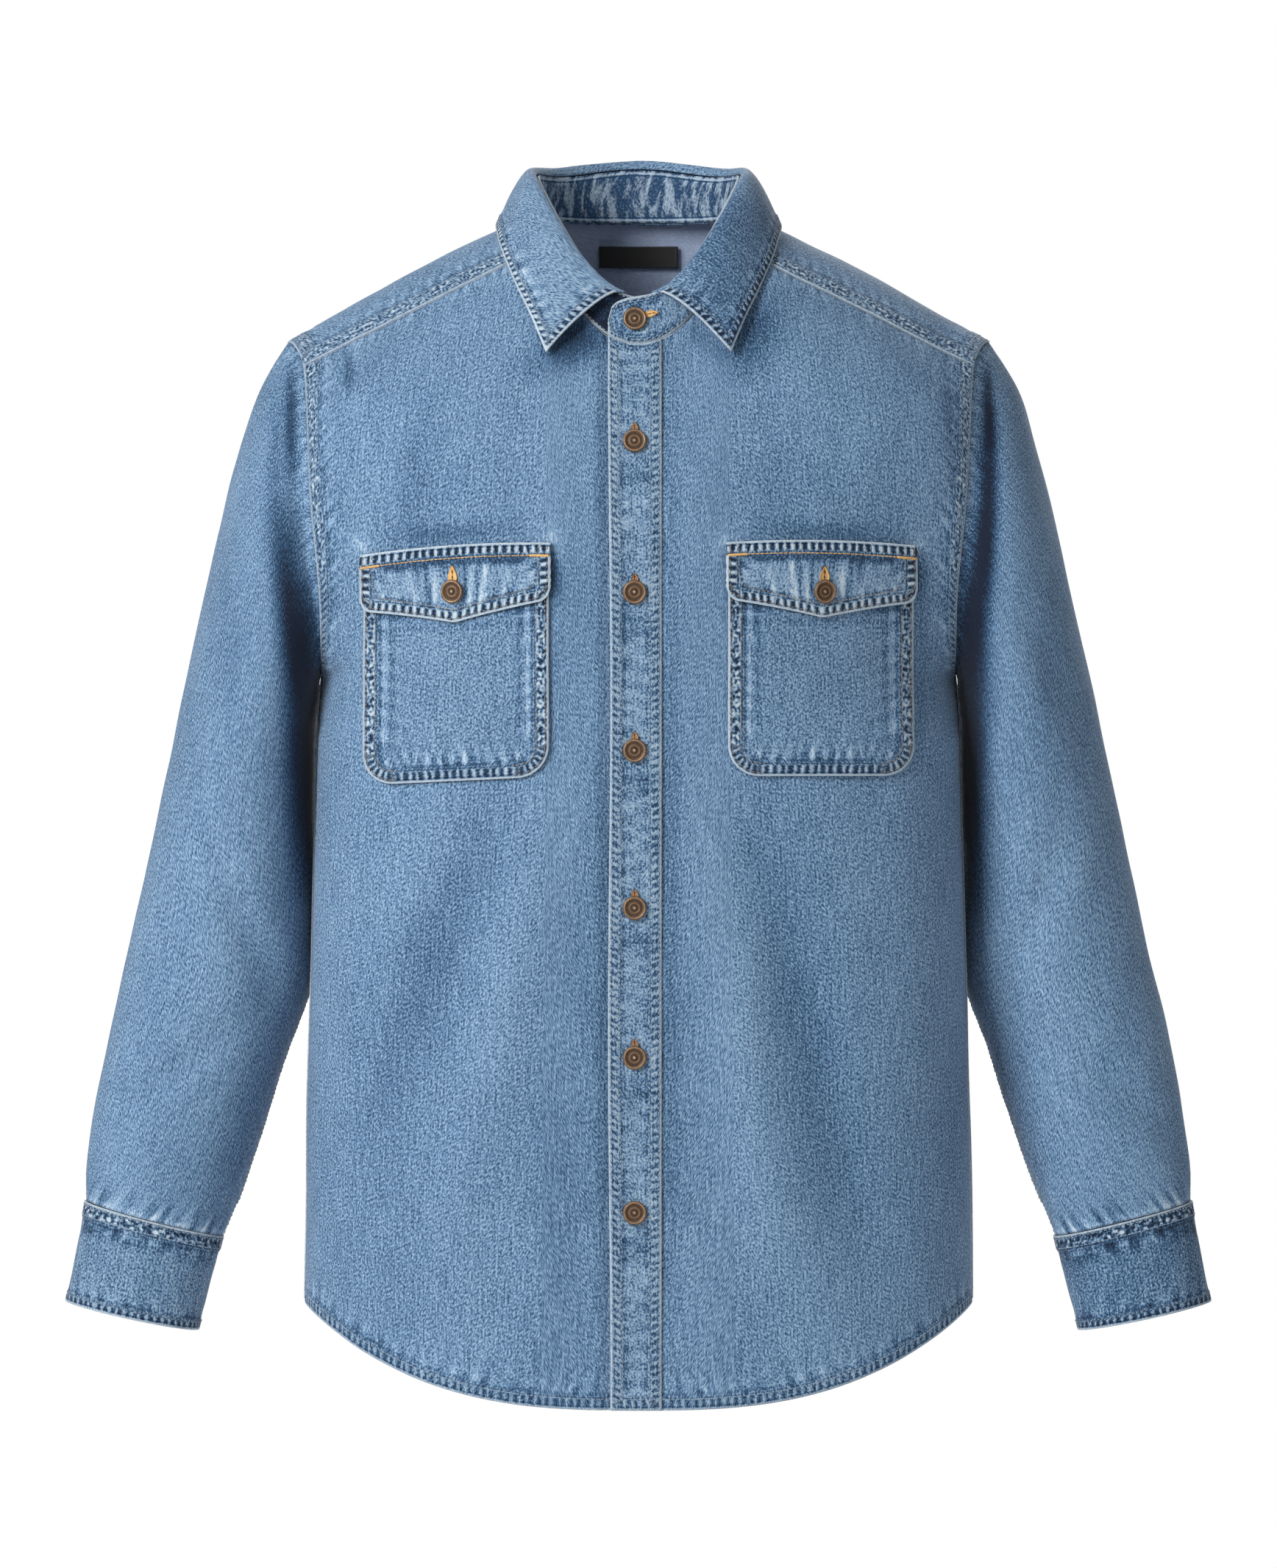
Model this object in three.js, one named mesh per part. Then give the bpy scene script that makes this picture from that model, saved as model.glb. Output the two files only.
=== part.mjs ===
// Denim shirt, filled out with no wearer: a hollow form of cut and sewn pieces.
// Millimetres, +Z up, front towards -Y, wearer's left towards +X.
// The origin is the middle of the neck base, where the wearer's shoulders carry the shirt.
import * as THREE from "three";

// Cloth
const WALL = 1.3;
const STAND_WALL = 1.6;
const SEAM_GAP = 0.3;
const LAP_STEP = 2.4;

// Front closing: the wearer's left front laps over the right
const LEFT_FRONT_EDGE = -16;
const RIGHT_FRONT_EDGE = 15;
const LAP_START = -26.5;
const LAP_FULL = -20.5;
const PLACKET = { left: -19, right: 15, wall: 1.2, wave: 0.8, waveLength: 62 };

// Neck seam, a loop round the neck base. Angle 0 is the centre front, 90 the wearer's left, 180 the centre back.
const NECK = { halfWidth: 68, middleY: -17.5, halfDepth: 79.5, heights: [-9.5, -41.8, -18.5, -4.2] };
const STAND_TOP = { halfWidth: 66.8, middleY: -13, halfDepth: 77, heights: [24.6, -40, -18.4, -7.7] };
const NECK_CORNER = 68;

// Armhole seam, a loop at each side. Angle 0 is the underarm, 90 the front edge, 180 the shoulder, 270 the back edge.
const ARMHOLE = { middleY: 3, middleZ: -176.75, halfDepth: 64, halfHeight: 110.25, front: 147, back: 215 };
const ARMHOLE_REACH = [
  { angle: 0, x: 211 },
  { angle: 30, x: 209.8 },
  { angle: 60, x: 210.2 },
  { angle: 90, x: 215 },
  { angle: 120, x: 218 },
  { angle: 147, x: 221.5 },
  { angle: 165, x: 228 },
  { angle: 180, x: 233.5 },
];

// Body: half width at the side seam, and the depth of the front and back at their middles
const SIDE_SEAM_Y = 3;
const UNDERARM_Z = ARMHOLE.middleZ - ARMHOLE.halfHeight;
const SIDE_SEAM = [
  { z: UNDERARM_Z, x: 211 },
  { z: -310, x: 213 },
  { z: -400, x: 215.5 },
  { z: -505, x: 218.5 },
  { z: -600, x: 221 },
  { z: -703, x: 222 },
];
const FRONT_PROFILE = [
  { z: 0, y: -62 },
  { z: -40, y: -84 },
  { z: -73, y: -97 },
  { z: -110, y: -111 },
  { z: -150, y: -121 },
  { z: -190, y: -125 },
  { z: -300, y: -123 },
  { z: -500, y: -118 },
  { z: -778, y: -115 },
];
const BACK_PROFILE = [
  { z: -86, y: 98 },
  { z: -160, y: 105 },
  { z: -250, y: 103 },
  { z: -350, y: 100 },
  { z: -500, y: 101 },
  { z: -600, y: 104 },
  { z: -778, y: 108 },
];
const SECTION_POWER = 2.35;
const SECTION_REACH = { atArmhole: 0.93, from: -230, over: 100 };
const TOP_BLEND = 0.12;
const HEM = { sideZ: -703, frontDrop: 64, backDrop: 73, power: 2.85, width: 9, edge: 1.2, lift: 0.7 };

// Yoke rays run from the neck seam to the armhole, then to the back yoke seam. Lifts round the cloth between them.
const YOKE_RAYS = [
  { neck: 68, armhole: 147, liftY: -28, liftZ: 2 },
  { neck: 82, armhole: 164, liftY: -14, liftZ: 16 },
  { neck: 96, armhole: 181, liftY: 0, liftZ: 22 },
  { neck: 110, armhole: 198, liftY: 16, liftZ: 26 },
  { neck: 124, armhole: 215, liftY: 32, liftZ: 26 },
  { neck: 138, back: 0.75, liftY: 34, liftZ: 28 },
  { neck: 152, back: 0.5, liftY: 30, liftZ: 26 },
  { neck: 166, back: 0.25, liftY: 26, liftZ: 24 },
  { neck: 180, back: 0, liftY: 24, liftZ: 22 },
];

// Sleeve rings, from the armhole to the cuff: the outer and inner point, the middle and half depth front to back,
// and how far the ring still bends with the armhole seam.
const SLEEVE_RINGS = [
  { outerX: 233.5, outerZ: -66.5, innerX: 211, innerZ: -287, middleY: 3, halfDepth: 64, bend: 1 },
  { outerX: 243, outerZ: -80, innerX: 212.3, innerZ: -290, middleY: 4, halfDepth: 61, bend: 0.85 },
  { outerX: 254, outerZ: -100, innerX: 213.5, innerZ: -294.5, middleY: 7, halfDepth: 68, bend: 0.45 },
  { outerX: 263, outerZ: -126, innerX: 214, innerZ: -300, middleY: 12, halfDepth: 74, bend: 0.15 },
  { outerX: 273, outerZ: -162, innerX: 214.5, innerZ: -308, middleY: 16, halfDepth: 77, bend: 0 },
  { outerX: 283.5, outerZ: -206, innerX: 215, innerZ: -322, middleY: 21, halfDepth: 78, bend: 0 },
  { outerX: 294, outerZ: -252, innerX: 215.3, innerZ: -345, middleY: 25, halfDepth: 77, bend: 0 },
  { outerX: 306, outerZ: -305, innerX: 215.7, innerZ: -378, middleY: 28, halfDepth: 74, bend: 0 },
  { outerX: 318, outerZ: -362, innerX: 216, innerZ: -418, middleY: 30, halfDepth: 69, bend: 0 },
  { outerX: 330, outerZ: -418, innerX: 216.5, innerZ: -458, middleY: 30, halfDepth: 65, bend: 0 },
  { outerX: 341, outerZ: -470, innerX: 218.5, innerZ: -492, middleY: 29, halfDepth: 61, bend: 0 },
  { outerX: 352.5, outerZ: -520, innerX: 236, innerZ: -541, middleY: 26, halfDepth: 57, bend: 0 },
  { outerX: 362.5, outerZ: -570, innerX: 251.5, innerZ: -591, middleY: 21, halfDepth: 52, bend: 0 },
  { outerX: 368.5, outerZ: -612, innerX: 266, innerZ: -633, middleY: 14, halfDepth: 45, bend: 0 },
  { outerX: 368.5, outerZ: -637.5, innerX: 277.5, innerZ: -661.2, middleY: 8, halfDepth: 37, bend: 0 },
];

// Cuff: its top and bottom loops, and the lap that its button closes at the back of the wrist
const CUFF = {
  top: { outerX: 369.5, outerZ: -637.8, innerX: 276.5, innerZ: -661.6, middleY: 8, halfDepth: 37.5 },
  bottom: { outerX: 382, outerZ: -704.5, innerX: 293, innerZ: -724, middleY: 5, halfDepth: 37 },
  wall: 2,
  lapAngle: 250,
  lapSpan: 34,
  lapStep: 2.6,
  lapEnd: 2.4,
  lapRise: 16,
};
const SLEEVE_PLACKET = { halfAngle: 13, topRing: 11.4, endRing: 13.96, wall: 1.1, gap: 0.9 };

// Collar fall: for each angle of the neck, the point of its free edge and the rise of its roll above the stand
const COLLAR_FALL = [
  { angle: 7, x: 60.5, y: -104, z: -79, rise: 3 },
  { angle: 30, x: 70, y: -93, z: -56, rise: 5 },
  { angle: 52, x: 82, y: -70, z: -30, rise: 9 },
  { angle: 75, x: 92, y: -41, z: -3.5, rise: 14 },
  { angle: 95, x: 95, y: -6, z: 11.5, rise: 18 },
  { angle: 118, x: 90, y: 28, z: 12, rise: 21 },
  { angle: 140, x: 71, y: 57, z: 12.5, rise: 23 },
  { angle: 160, x: 38, y: 75, z: 13, rise: 24 },
  { angle: 180, x: 0, y: 81, z: 13, rise: 25 },
];
const COLLAR_WALL = 1.4;
const FALL_SEAT = 0.75;
const ROLL_REACH = 0.28;
const EDGE_RELIEF = 0.5;
const STAND_END = { left: -17, right: 374, corner: 24, lapFrom: 336, lapTo: 347 };

// Chest pockets and flaps. The wearer's right pocket hangs lower and slants up towards the front band.
const POCKET = { x: 118.3, top: -212, bottom: -356.8, halfWidth: 60.5, corner: 20, wall: 1.1, gap: 1.7 };
const POCKET_SET = { left: { rise: 1.7, slant: 0 }, right: { rise: -1.5, slant: 0.048 } };
const FLAP = {
  top: -203.4,
  arch: 2.2,
  halfWidth: 62,
  sideHeight: 36.8,
  pointHeight: 50.4,
  pointPower: 1.3,
  corner: 8,
  wall: 1.3,
  stand: 3.2,
};
const FLAP_COLUMNS = [-1, -0.965, -0.87, -0.6, -0.3, 0, 0.3, 0.6, 0.87, 0.965, 1];
const FLAP_ROWS = [0, 0.17, 0.45, 0.72, 1];

// Buttons: metal shank buttons of one size. Their places on the stand and the cuffs are fractions of those bands.
const BUTTON = {
  radius: 7.75,
  x: -2.5,
  placketZ: [-138.5, -236.1, -338.6, -440.7, -537.8, -638.4],
  flapX: 119,
  flapZ: -234.9,
  standAngle: -2,
  standUp: 0.52,
  cuffTurn: 0.955,
};

// Neck label: its size, and how much it curves with the yoke towards its ends
const LABEL = { halfWidth: 26.75, top: 3.6, bottom: -10.7, wall: 1, curve: 4.2, curveWidth: 40, gap: 1.5 };

// Largest soft folds of the body: a line from one end to the other, how wide, and how far out (+) or in (-)
const FOLD_FADE = { start: 0.08, end: 0.92 };
const FRONT_FOLDS = [
  { x1: -92, z1: -372, x2: -178, z2: -610, width: 21, depth: -5 },
  { x1: -62, z1: -385, x2: -131, z2: -690, width: 22, depth: 4.5 },
  { x1: 76, z1: -380, x2: 153, z2: -690, width: 21, depth: -5 },
  { x1: 50, z1: -440, x2: 96, z2: -700, width: 20, depth: 4 },
  { x1: 175, z1: -330, x2: 196, z2: -560, width: 18, depth: 3 },
];
const BACK_FOLDS = [
  { x1: -70, z1: -150, x2: -98, z2: -520, width: 22, depth: -5 },
  { x1: 88, z1: -130, x2: 70, z2: -470, width: 20, depth: -4.5 },
  { x1: -20, z1: -330, x2: 22, z2: -720, width: 24, depth: 4 },
  { x1: 130, z1: -420, x2: 160, z2: -700, width: 22, depth: -4 },
];
const SLEEVE_FOLDS = [
  { angle1: 70, ring1: 3, angle2: 140, ring2: 7.5, width: 16, depth: -4 },
  { angle1: 110, ring1: 8, angle2: 40, ring2: 10.5, width: 15, depth: -4.5 },
  { angle1: 60, ring1: 10.6, angle2: 150, ring2: 12.6, width: 13, depth: -3.5 },
  { angle1: 300, ring1: 3, angle2: 230, ring2: 7, width: 17, depth: -4 },
  { angle1: 230, ring1: 9, angle2: 320, ring2: 11, width: 15, depth: -4 },
];

const radians = (degrees) => (degrees * Math.PI) / 180;
const clamp01 = (t) => Math.min(1, Math.max(0, t));
const mix = (a, b, t) => a + (b - a) * t;
const smooth = (t) => clamp01(t) ** 2 * (3 - 2 * clamp01(t));
const steps = (from, to, count) => Array.from({ length: count + 1 }, (_, k) => mix(from, to, k / count));

// Reads one column of a table at any key, on a smooth curve through its rows.
function readTable(rows, key, column, at) {
  const rising = rows[1][key] > rows[0][key];
  let k = 0;
  while (k < rows.length - 2 && (rising ? at > rows[k + 1][key] : at < rows[k + 1][key])) k += 1;
  const slope = (m) => {
    const low = rows[Math.max(0, m - 1)];
    const high = rows[Math.min(rows.length - 1, m + 1)];
    return (high[column] - low[column]) / (high[key] - low[key]);
  };
  const span = rows[k + 1][key] - rows[k][key];
  const t = clamp01((at - rows[k][key]) / span);
  const start = rows[k][column];
  const end = rows[k + 1][column];
  const cubic = (2 * t ** 3 - 3 * t ** 2 + 1) * start + (3 * t ** 2 - 2 * t ** 3) * end;
  return cubic + span * ((t ** 3 - 2 * t ** 2 + t) * slope(k) + (t ** 3 - t ** 2) * slope(k + 1));
}

// Sum of the soft folds at a place: each is deepest on its line and fades at both ends.
function foldShift(folds, x, z) {
  let shift = 0;
  for (const fold of folds) {
    const dx = fold.x2 - fold.x1;
    const dz = fold.z2 - fold.z1;
    const t = clamp01(((x - fold.x1) * dx + (z - fold.z1) * dz) / (dx * dx + dz * dz));
    const away = Math.hypot(x - fold.x1 - dx * t, z - fold.z1 - dz * t) / fold.width;
    shift += fold.depth * Math.exp(-(away ** 2)) * Math.sin(Math.PI * mix(FOLD_FADE.start, FOLD_FADE.end, t));
  }
  return shift;
}

function neckLoop(loop, angle) {
  const a = radians(angle);
  const z = loop.heights.reduce((sum, height, k) => sum + height * Math.cos(k * a), 0);
  return new THREE.Vector3(loop.halfWidth * Math.sin(a), loop.middleY - loop.halfDepth * Math.cos(a), z);
}

function armholePoint(side, angle) {
  const a = radians(angle);
  const reach = readTable(ARMHOLE_REACH, "angle", "x", angle > 180 ? 360 - angle : angle);
  const y = ARMHOLE.middleY - ARMHOLE.halfDepth * Math.sin(a);
  return new THREE.Vector3(side * reach, y, ARMHOLE.middleZ - ARMHOLE.halfHeight * Math.cos(a));
}

// Both pieces at the armhole seam share this direction, so that their walls stay side by side.
function armholeNormal(side, angle) {
  const a = radians(angle);
  return new THREE.Vector3(side * (0.55 + 0.4 * Math.cos(a)), -Math.sin(a), -Math.cos(a)).normalize();
}

// Close to the underarm the sleeve turns down beside the body, and each wall keeps its own direction.
const UNDERARM_TURN = 50;
const UNDERARM_EASE = 0.4;
const nearUnderarm = (angle) => angle < UNDERARM_TURN || angle > 360 - UNDERARM_TURN;

const armholeAngleAt = (z) => (Math.acos((ARMHOLE.middleZ - z) / ARMHOLE.halfHeight) * 180) / Math.PI;

// The edge of a body panel at its side: the armhole seam down to the underarm, then the side seam.
function sideEdge(z, isBack) {
  if (z <= UNDERARM_Z) return { x: readTable(SIDE_SEAM, "z", "x", z), y: SIDE_SEAM_Y, z };
  const angle = armholeAngleAt(z);
  const point = armholePoint(1, isBack ? 360 - angle : angle);
  return { x: point.x, y: point.y, z };
}

// Away from the seam the body rounds off gently past the underarm. Only its last stretch follows the armhole's edge.
const SOFT_EDGE = { from: -130, to: -335, above: 60, power: 12 };

function sectionDepth(middleY, edge, fraction, z, isBack) {
  const above = smooth((edge.z - SOFT_EDGE.from) / SOFT_EDGE.above);
  const depth = ARMHOLE.halfDepth * (1 - smooth((SOFT_EDGE.from - edge.z) / (SOFT_EDGE.from - SOFT_EDGE.to)));
  const softY = mix(ARMHOLE.middleY + (isBack ? depth : -depth), edge.y, above);
  const edgePull = (edge.y - softY) * Math.min(1, fraction) ** SOFT_EDGE.power;
  return mix(middleY, softY, sectionTurn(fraction, z)) + edgePull;
}

// How far a body section has turned from its middle (0) to its side edge (1), at a fraction of the half width.
function sectionTurn(fraction, z) {
  const reach = mix(SECTION_REACH.atArmhole, 1, smooth((SECTION_REACH.from - z) / SECTION_REACH.over));
  const turn = (t) => 1 - (1 - (reach * t) ** SECTION_POWER) ** (1 / SECTION_POWER);
  return turn(Math.min(1, fraction)) / turn(1);
}

const hemZ = (fraction, drop) => HEM.sideZ - drop * (1 - fraction ** HEM.power);
const edgeFade = (fraction) => 1 - Math.min(1, fraction) ** 6;

const FRONT_TOP_Z = armholePoint(1, ARMHOLE.front).z;
const BACK_TOP_Z = armholePoint(1, ARMHOLE.back).z;
const FRONT_TOP_HALF = armholePoint(1, ARMHOLE.front).x;
const CORNER_FRACTION = neckLoop(NECK, NECK_CORNER).x / FRONT_TOP_HALF;

function yokePoint(side, ray, reach) {
  const row = YOKE_RAYS[ray];
  const start = neckLoop(NECK, row.neck);
  const end = row.armhole === undefined ? backPoint(row.back, 0) : armholePoint(1, row.armhole);
  const rounding = Math.sqrt(reach) * (1 - reach);
  const point = start.lerp(end, reach).add(new THREE.Vector3(0, row.liftY, row.liftZ).multiplyScalar(rounding));
  point.x *= side;
  return point;
}

// Top edge of a front: the neck seam, then the yoke seam.
function frontTop(fraction) {
  if (fraction > CORNER_FRACTION) {
    return yokePoint(1, 0, (fraction - CORNER_FRACTION) / (1 - CORNER_FRACTION));
  }
  const angle = Math.asin((fraction * FRONT_TOP_HALF) / NECK.halfWidth);
  return neckLoop(NECK, (angle * 180) / Math.PI);
}

// Front surface at a signed fraction of the half width, and from the top edge (0) to the hem (1).
function frontPoint(signed, down) {
  const fraction = Math.abs(signed);
  const top = frontTop(fraction);
  const edge = sideEdge(mix(FRONT_TOP_Z, HEM.sideZ, down), false);
  const z = mix(top.z, hemZ(fraction, HEM.frontDrop), down);
  const middle = readTable(FRONT_PROFILE, "z", "y", z);
  const topMiddle = readTable(FRONT_PROFILE, "z", "y", top.z);
  const topEdge = sideEdge(FRONT_TOP_Z, false);
  const topError = top.y - sectionDepth(topMiddle, topEdge, fraction, top.z, false);
  const y = sectionDepth(middle, edge, fraction, z, false) + topError * clamp01(1 - down / TOP_BLEND) ** 2;
  const x = signed * edge.x;
  return new THREE.Vector3(x, y - foldShift(FRONT_FOLDS, x, z) * edgeFade(fraction), z);
}

function backPoint(signed, down) {
  const fraction = Math.abs(signed);
  const edge = sideEdge(mix(BACK_TOP_Z, HEM.sideZ, down), true);
  const z = mix(BACK_TOP_Z, hemZ(fraction, HEM.backDrop), down);
  const middle = readTable(BACK_PROFILE, "z", "y", z);
  const x = signed * edge.x;
  const y = sectionDepth(middle, edge, fraction, z, true);
  return new THREE.Vector3(x, y + foldShift(BACK_FOLDS, x, z) * edgeFade(fraction), z);
}

// The front surface over a given x and z.
function frontAt(x, z) {
  let down = 0.5;
  let fraction = 0;
  for (let round = 0; round < 12; round += 1) {
    fraction = x / sideEdge(mix(FRONT_TOP_Z, HEM.sideZ, down), false).x;
    const top = frontTop(Math.abs(fraction)).z;
    down = clamp01((z - top) / (hemZ(Math.abs(fraction), HEM.frontDrop) - top));
  }
  return frontPoint(fraction, down);
}

function frontNormalAt(x, z) {
  const step = 2;
  const across = frontAt(x + step, z).sub(frontAt(x - step, z));
  const up = frontAt(x, z + step).sub(frontAt(x, z - step));
  return across.cross(up).normalize();
}

function sleevePoint(side, angle, ring) {
  const a = radians(angle);
  const read = (column) => readTable(SLEEVE_STATIONS, "ring", column, ring);
  const middleX = (read("outerX") + read("innerX")) / 2;
  const middleZ = (read("outerZ") + read("innerZ")) / 2;
  const halfX = (read("outerX") - read("innerX")) / 2;
  const halfZ = (read("outerZ") - read("innerZ")) / 2;
  const first = SLEEVE_RINGS[0];
  const flat = mix(first.innerX, first.outerX, (1 - Math.cos(a)) / 2);
  const bend = (armholePoint(1, angle).x - flat) * read("bend");
  const centre = new THREE.Vector3(middleX, read("middleY"), middleZ);
  const point = new THREE.Vector3(middleX - halfX * Math.cos(a) + bend, 0, middleZ - halfZ * Math.cos(a));
  point.y = read("middleY") - read("halfDepth") * Math.sin(a);
  const out = point.clone().sub(centre).normalize();
  point.addScaledVector(out, sleeveFoldShift(angle, ring));
  point.x = side * (point.x + UNDERARM_EASE * clamp01(Math.cos(a)) ** 2);
  return point;
}

const SLEEVE_STATIONS = SLEEVE_RINGS.map((row, ring) => ({ ring, ...row }));
const MM_PER_RING = 42;
const MM_PER_DEGREE = 1.15;

function sleeveFoldShift(angle, ring) {
  const fade = smooth(ring / 2.5) * smooth((SLEEVE_RINGS.length - 1.2 - ring) / 1.5);
  const folds = SLEEVE_FOLDS.map((fold) => ({
    x1: fold.angle1 * MM_PER_DEGREE,
    z1: fold.ring1 * MM_PER_RING,
    x2: fold.angle2 * MM_PER_DEGREE,
    z2: fold.ring2 * MM_PER_RING,
    width: fold.width,
    depth: fold.depth,
  }));
  return fade * foldShift(folds, angle * MM_PER_DEGREE, ring * MM_PER_RING);
}

function loopPoint(loop, angle) {
  const a = radians(angle);
  const turn = (1 - Math.cos(a)) / 2;
  const y = loop.middleY - loop.halfDepth * Math.sin(a);
  return new THREE.Vector3(mix(loop.innerX, loop.outerX, turn), y, mix(loop.innerZ, loop.outerZ, turn));
}

// Points of a sheet, row by row from its top, each row from its first edge to its last.
const sheetOf = (downs, acrosses, at) => downs.map((down, i) => acrosses.map((across, j) => at(across, down, i, j)));

// Draws the edges of a sheet in by half a seam gap, so that neighbours stay apart.
function trimSheet(sheet, trims) {
  const pull = (edge, next, amount) => {
    const towards = next.clone().sub(edge);
    edge.addScaledVector(towards, amount / towards.length());
  };
  const last = sheet.length - 1;
  const end = sheet[0].length - 1;
  for (let j = 0; j <= end; j += 1) {
    if (trims.top) pull(sheet[0][j], sheet[1][j], trims.top);
    if (trims.bottom) pull(sheet[last][j], sheet[last - 1][j], trims.bottom);
  }
  for (let i = 0; i <= last; i += 1) {
    if (trims.first) pull(sheet[i][0], sheet[i][1], trims.first);
    if (trims.last) pull(sheet[i][end], sheet[i][end - 1], trims.last);
  }
  return sheet;
}

function sheetNormals(sheet, closed, facing) {
  const rows = sheet.length;
  const count = sheet[0].length;
  return sheet.map((row, i) => row.map((_, j) => {
    const before = closed ? (j + count - 1) % count : Math.max(0, j - 1);
    const after = closed ? (j + 1) % count : Math.min(count - 1, j + 1);
    const across = row[after].clone().sub(row[before]);
    const down = sheet[Math.min(rows - 1, i + 1)][j].clone().sub(sheet[Math.max(0, i - 1)][j]);
    return down.cross(across).multiplyScalar(facing).normalize();
  }));
}

const NONE = () => 0;

// Turns a sheet into a closed wall: its outer face, its inner face one thickness behind, and a rim along open edges.
// facing is 1 or -1, so that normals point out of the shirt. lift raises or lowers both faces, relief the outer one.
function clothWall(sheet, { facing = 1, wall = WALL, closed = false, lift = NONE, relief = NONE, normalAt }) {
  const rows = sheet.length;
  const count = sheet[0].length;
  const normals = sheetNormals(sheet, closed, facing);
  const positions = [];
  const index = [];
  for (const face of [0, 1]) {
    for (let i = 0; i < rows; i += 1) {
      for (let j = 0; j < count; j += 1) {
        const normal = (normalAt && normalAt(i, j)) || normals[i][j];
        const out = lift(i, j) + (face === 0 ? relief(i, j) : -wall);
        positions.push(...sheet[i][j].clone().addScaledVector(normal, out).toArray());
      }
    }
  }
  const id = (face, i, j) => face * rows * count + i * count + (j % count);
  const quad = (a, b, c, d) => index.push(a, b, c, a, c, d);
  const spans = closed ? count : count - 1;
  for (let i = 0; i < rows - 1; i += 1) {
    for (let j = 0; j < spans; j += 1) {
      quad(id(0, i, j), id(0, i + 1, j), id(0, i + 1, j + 1), id(0, i, j + 1));
      quad(id(1, i, j), id(1, i, j + 1), id(1, i + 1, j + 1), id(1, i + 1, j));
    }
  }
  for (let j = 0; j < spans; j += 1) {
    quad(id(0, 0, j), id(0, 0, j + 1), id(1, 0, j + 1), id(1, 0, j));
    quad(id(0, rows - 1, j + 1), id(0, rows - 1, j), id(1, rows - 1, j), id(1, rows - 1, j + 1));
  }
  for (let i = 0; !closed && i < rows - 1; i += 1) {
    quad(id(0, i + 1, 0), id(0, i, 0), id(1, i, 0), id(1, i + 1, 0));
    quad(id(0, i, count - 1), id(0, i + 1, count - 1), id(1, i + 1, count - 1), id(1, i, count - 1));
  }
  if (facing < 0) {
    for (let k = 0; k < index.length; k += 3) [index[k], index[k + 1]] = [index[k + 1], index[k]];
  }
  const geometry = new THREE.BufferGeometry();
  geometry.setAttribute("position", new THREE.Float32BufferAttribute(positions, 3));
  geometry.setIndex(index);
  geometry.computeVertexNormals();
  return geometry;
}

const cloth = (color) => new THREE.MeshStandardMaterial({ color, roughness: 0.9, metalness: 0 });
const DENIM = cloth(0x6f92b4);
const DENIM_EDGE = cloth(0x7fa0be);
const LABEL_CLOTH = cloth(0x101012);
const BRASS = new THREE.MeshStandardMaterial({ color: 0x7a5c40, roughness: 0.45, metalness: 0.9 });

const shirt = new THREE.Group();

function addPiece(name, geometry, material) {
  const mesh = new THREE.Mesh(geometry, material);
  mesh.name = name;
  shirt.add(mesh);
  return mesh;
}

// Shared divisions, so that neighbouring pieces have their points at the same places along a seam
const ARMHOLE_STEPS = 10;
const BODY_STEPS = 10;
const NECK_FRONT_ANGLES = steps(0, NECK_CORNER, 6);
const PANEL_STEPS = 9;
const PANEL_POWER = 0.85;
const CORNER_TURN = Math.asin(CORNER_FRACTION ** (1 / PANEL_POWER));
const PANEL_FRACTIONS = steps(CORNER_TURN, Math.PI / 2, PANEL_STEPS).map((turn) => Math.sin(turn) ** PANEL_POWER);
const neckFraction = (angle) => neckLoop(NECK, angle).x / FRONT_TOP_HALF;

// Downs of a panel: one for each armhole division, then even steps to the hem.
function panelDowns(topAngle, topZ) {
  const downAt = (z) => (z - topZ) / (HEM.sideZ - topZ);
  const armhole = steps(topAngle, 0, ARMHOLE_STEPS).map((angle) => downAt(armholePoint(1, angle).z));
  const body = steps(UNDERARM_Z, HEM.sideZ, BODY_STEPS).slice(1, -1).map(downAt);
  return [...armhole, ...body, downAt(HEM.sideZ + HEM.width + HEM.edge), downAt(HEM.sideZ + HEM.width), 1];
}

const FRONT_DOWNS = panelDowns(ARMHOLE.front, FRONT_TOP_Z);
const BACK_DOWNS = panelDowns(360 - ARMHOLE.back, BACK_TOP_Z);

// Directions that both pieces share at the yoke's front and back seams
function frontSeamNormal(side, reach) {
  const atNeck = new THREE.Vector3(side * 0.15, -0.8, 0.6);
  const atArmhole = new THREE.Vector3(side * 0.4, -0.6, 0.72);
  return atNeck.lerp(atArmhole, reach).normalize();
}

function backSeamNormal(signed) {
  const atArmhole = armholeNormal(Math.sign(signed) || 1, ARMHOLE.back);
  return new THREE.Vector3(0, 1, 0.06).lerp(atArmhole, Math.abs(signed) ** 3).normalize();
}

const edgeNormal = (side, angle) => {
  const turn = Math.min(angle, 360 - angle) / UNDERARM_TURN;
  return new THREE.Vector3(side, 0, 0).lerp(armholeNormal(side, angle), smooth(turn)).normalize();
};
const hemRelief = (downs) => (i) => (i >= downs.length - 2 ? HEM.lift : 0);

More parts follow.
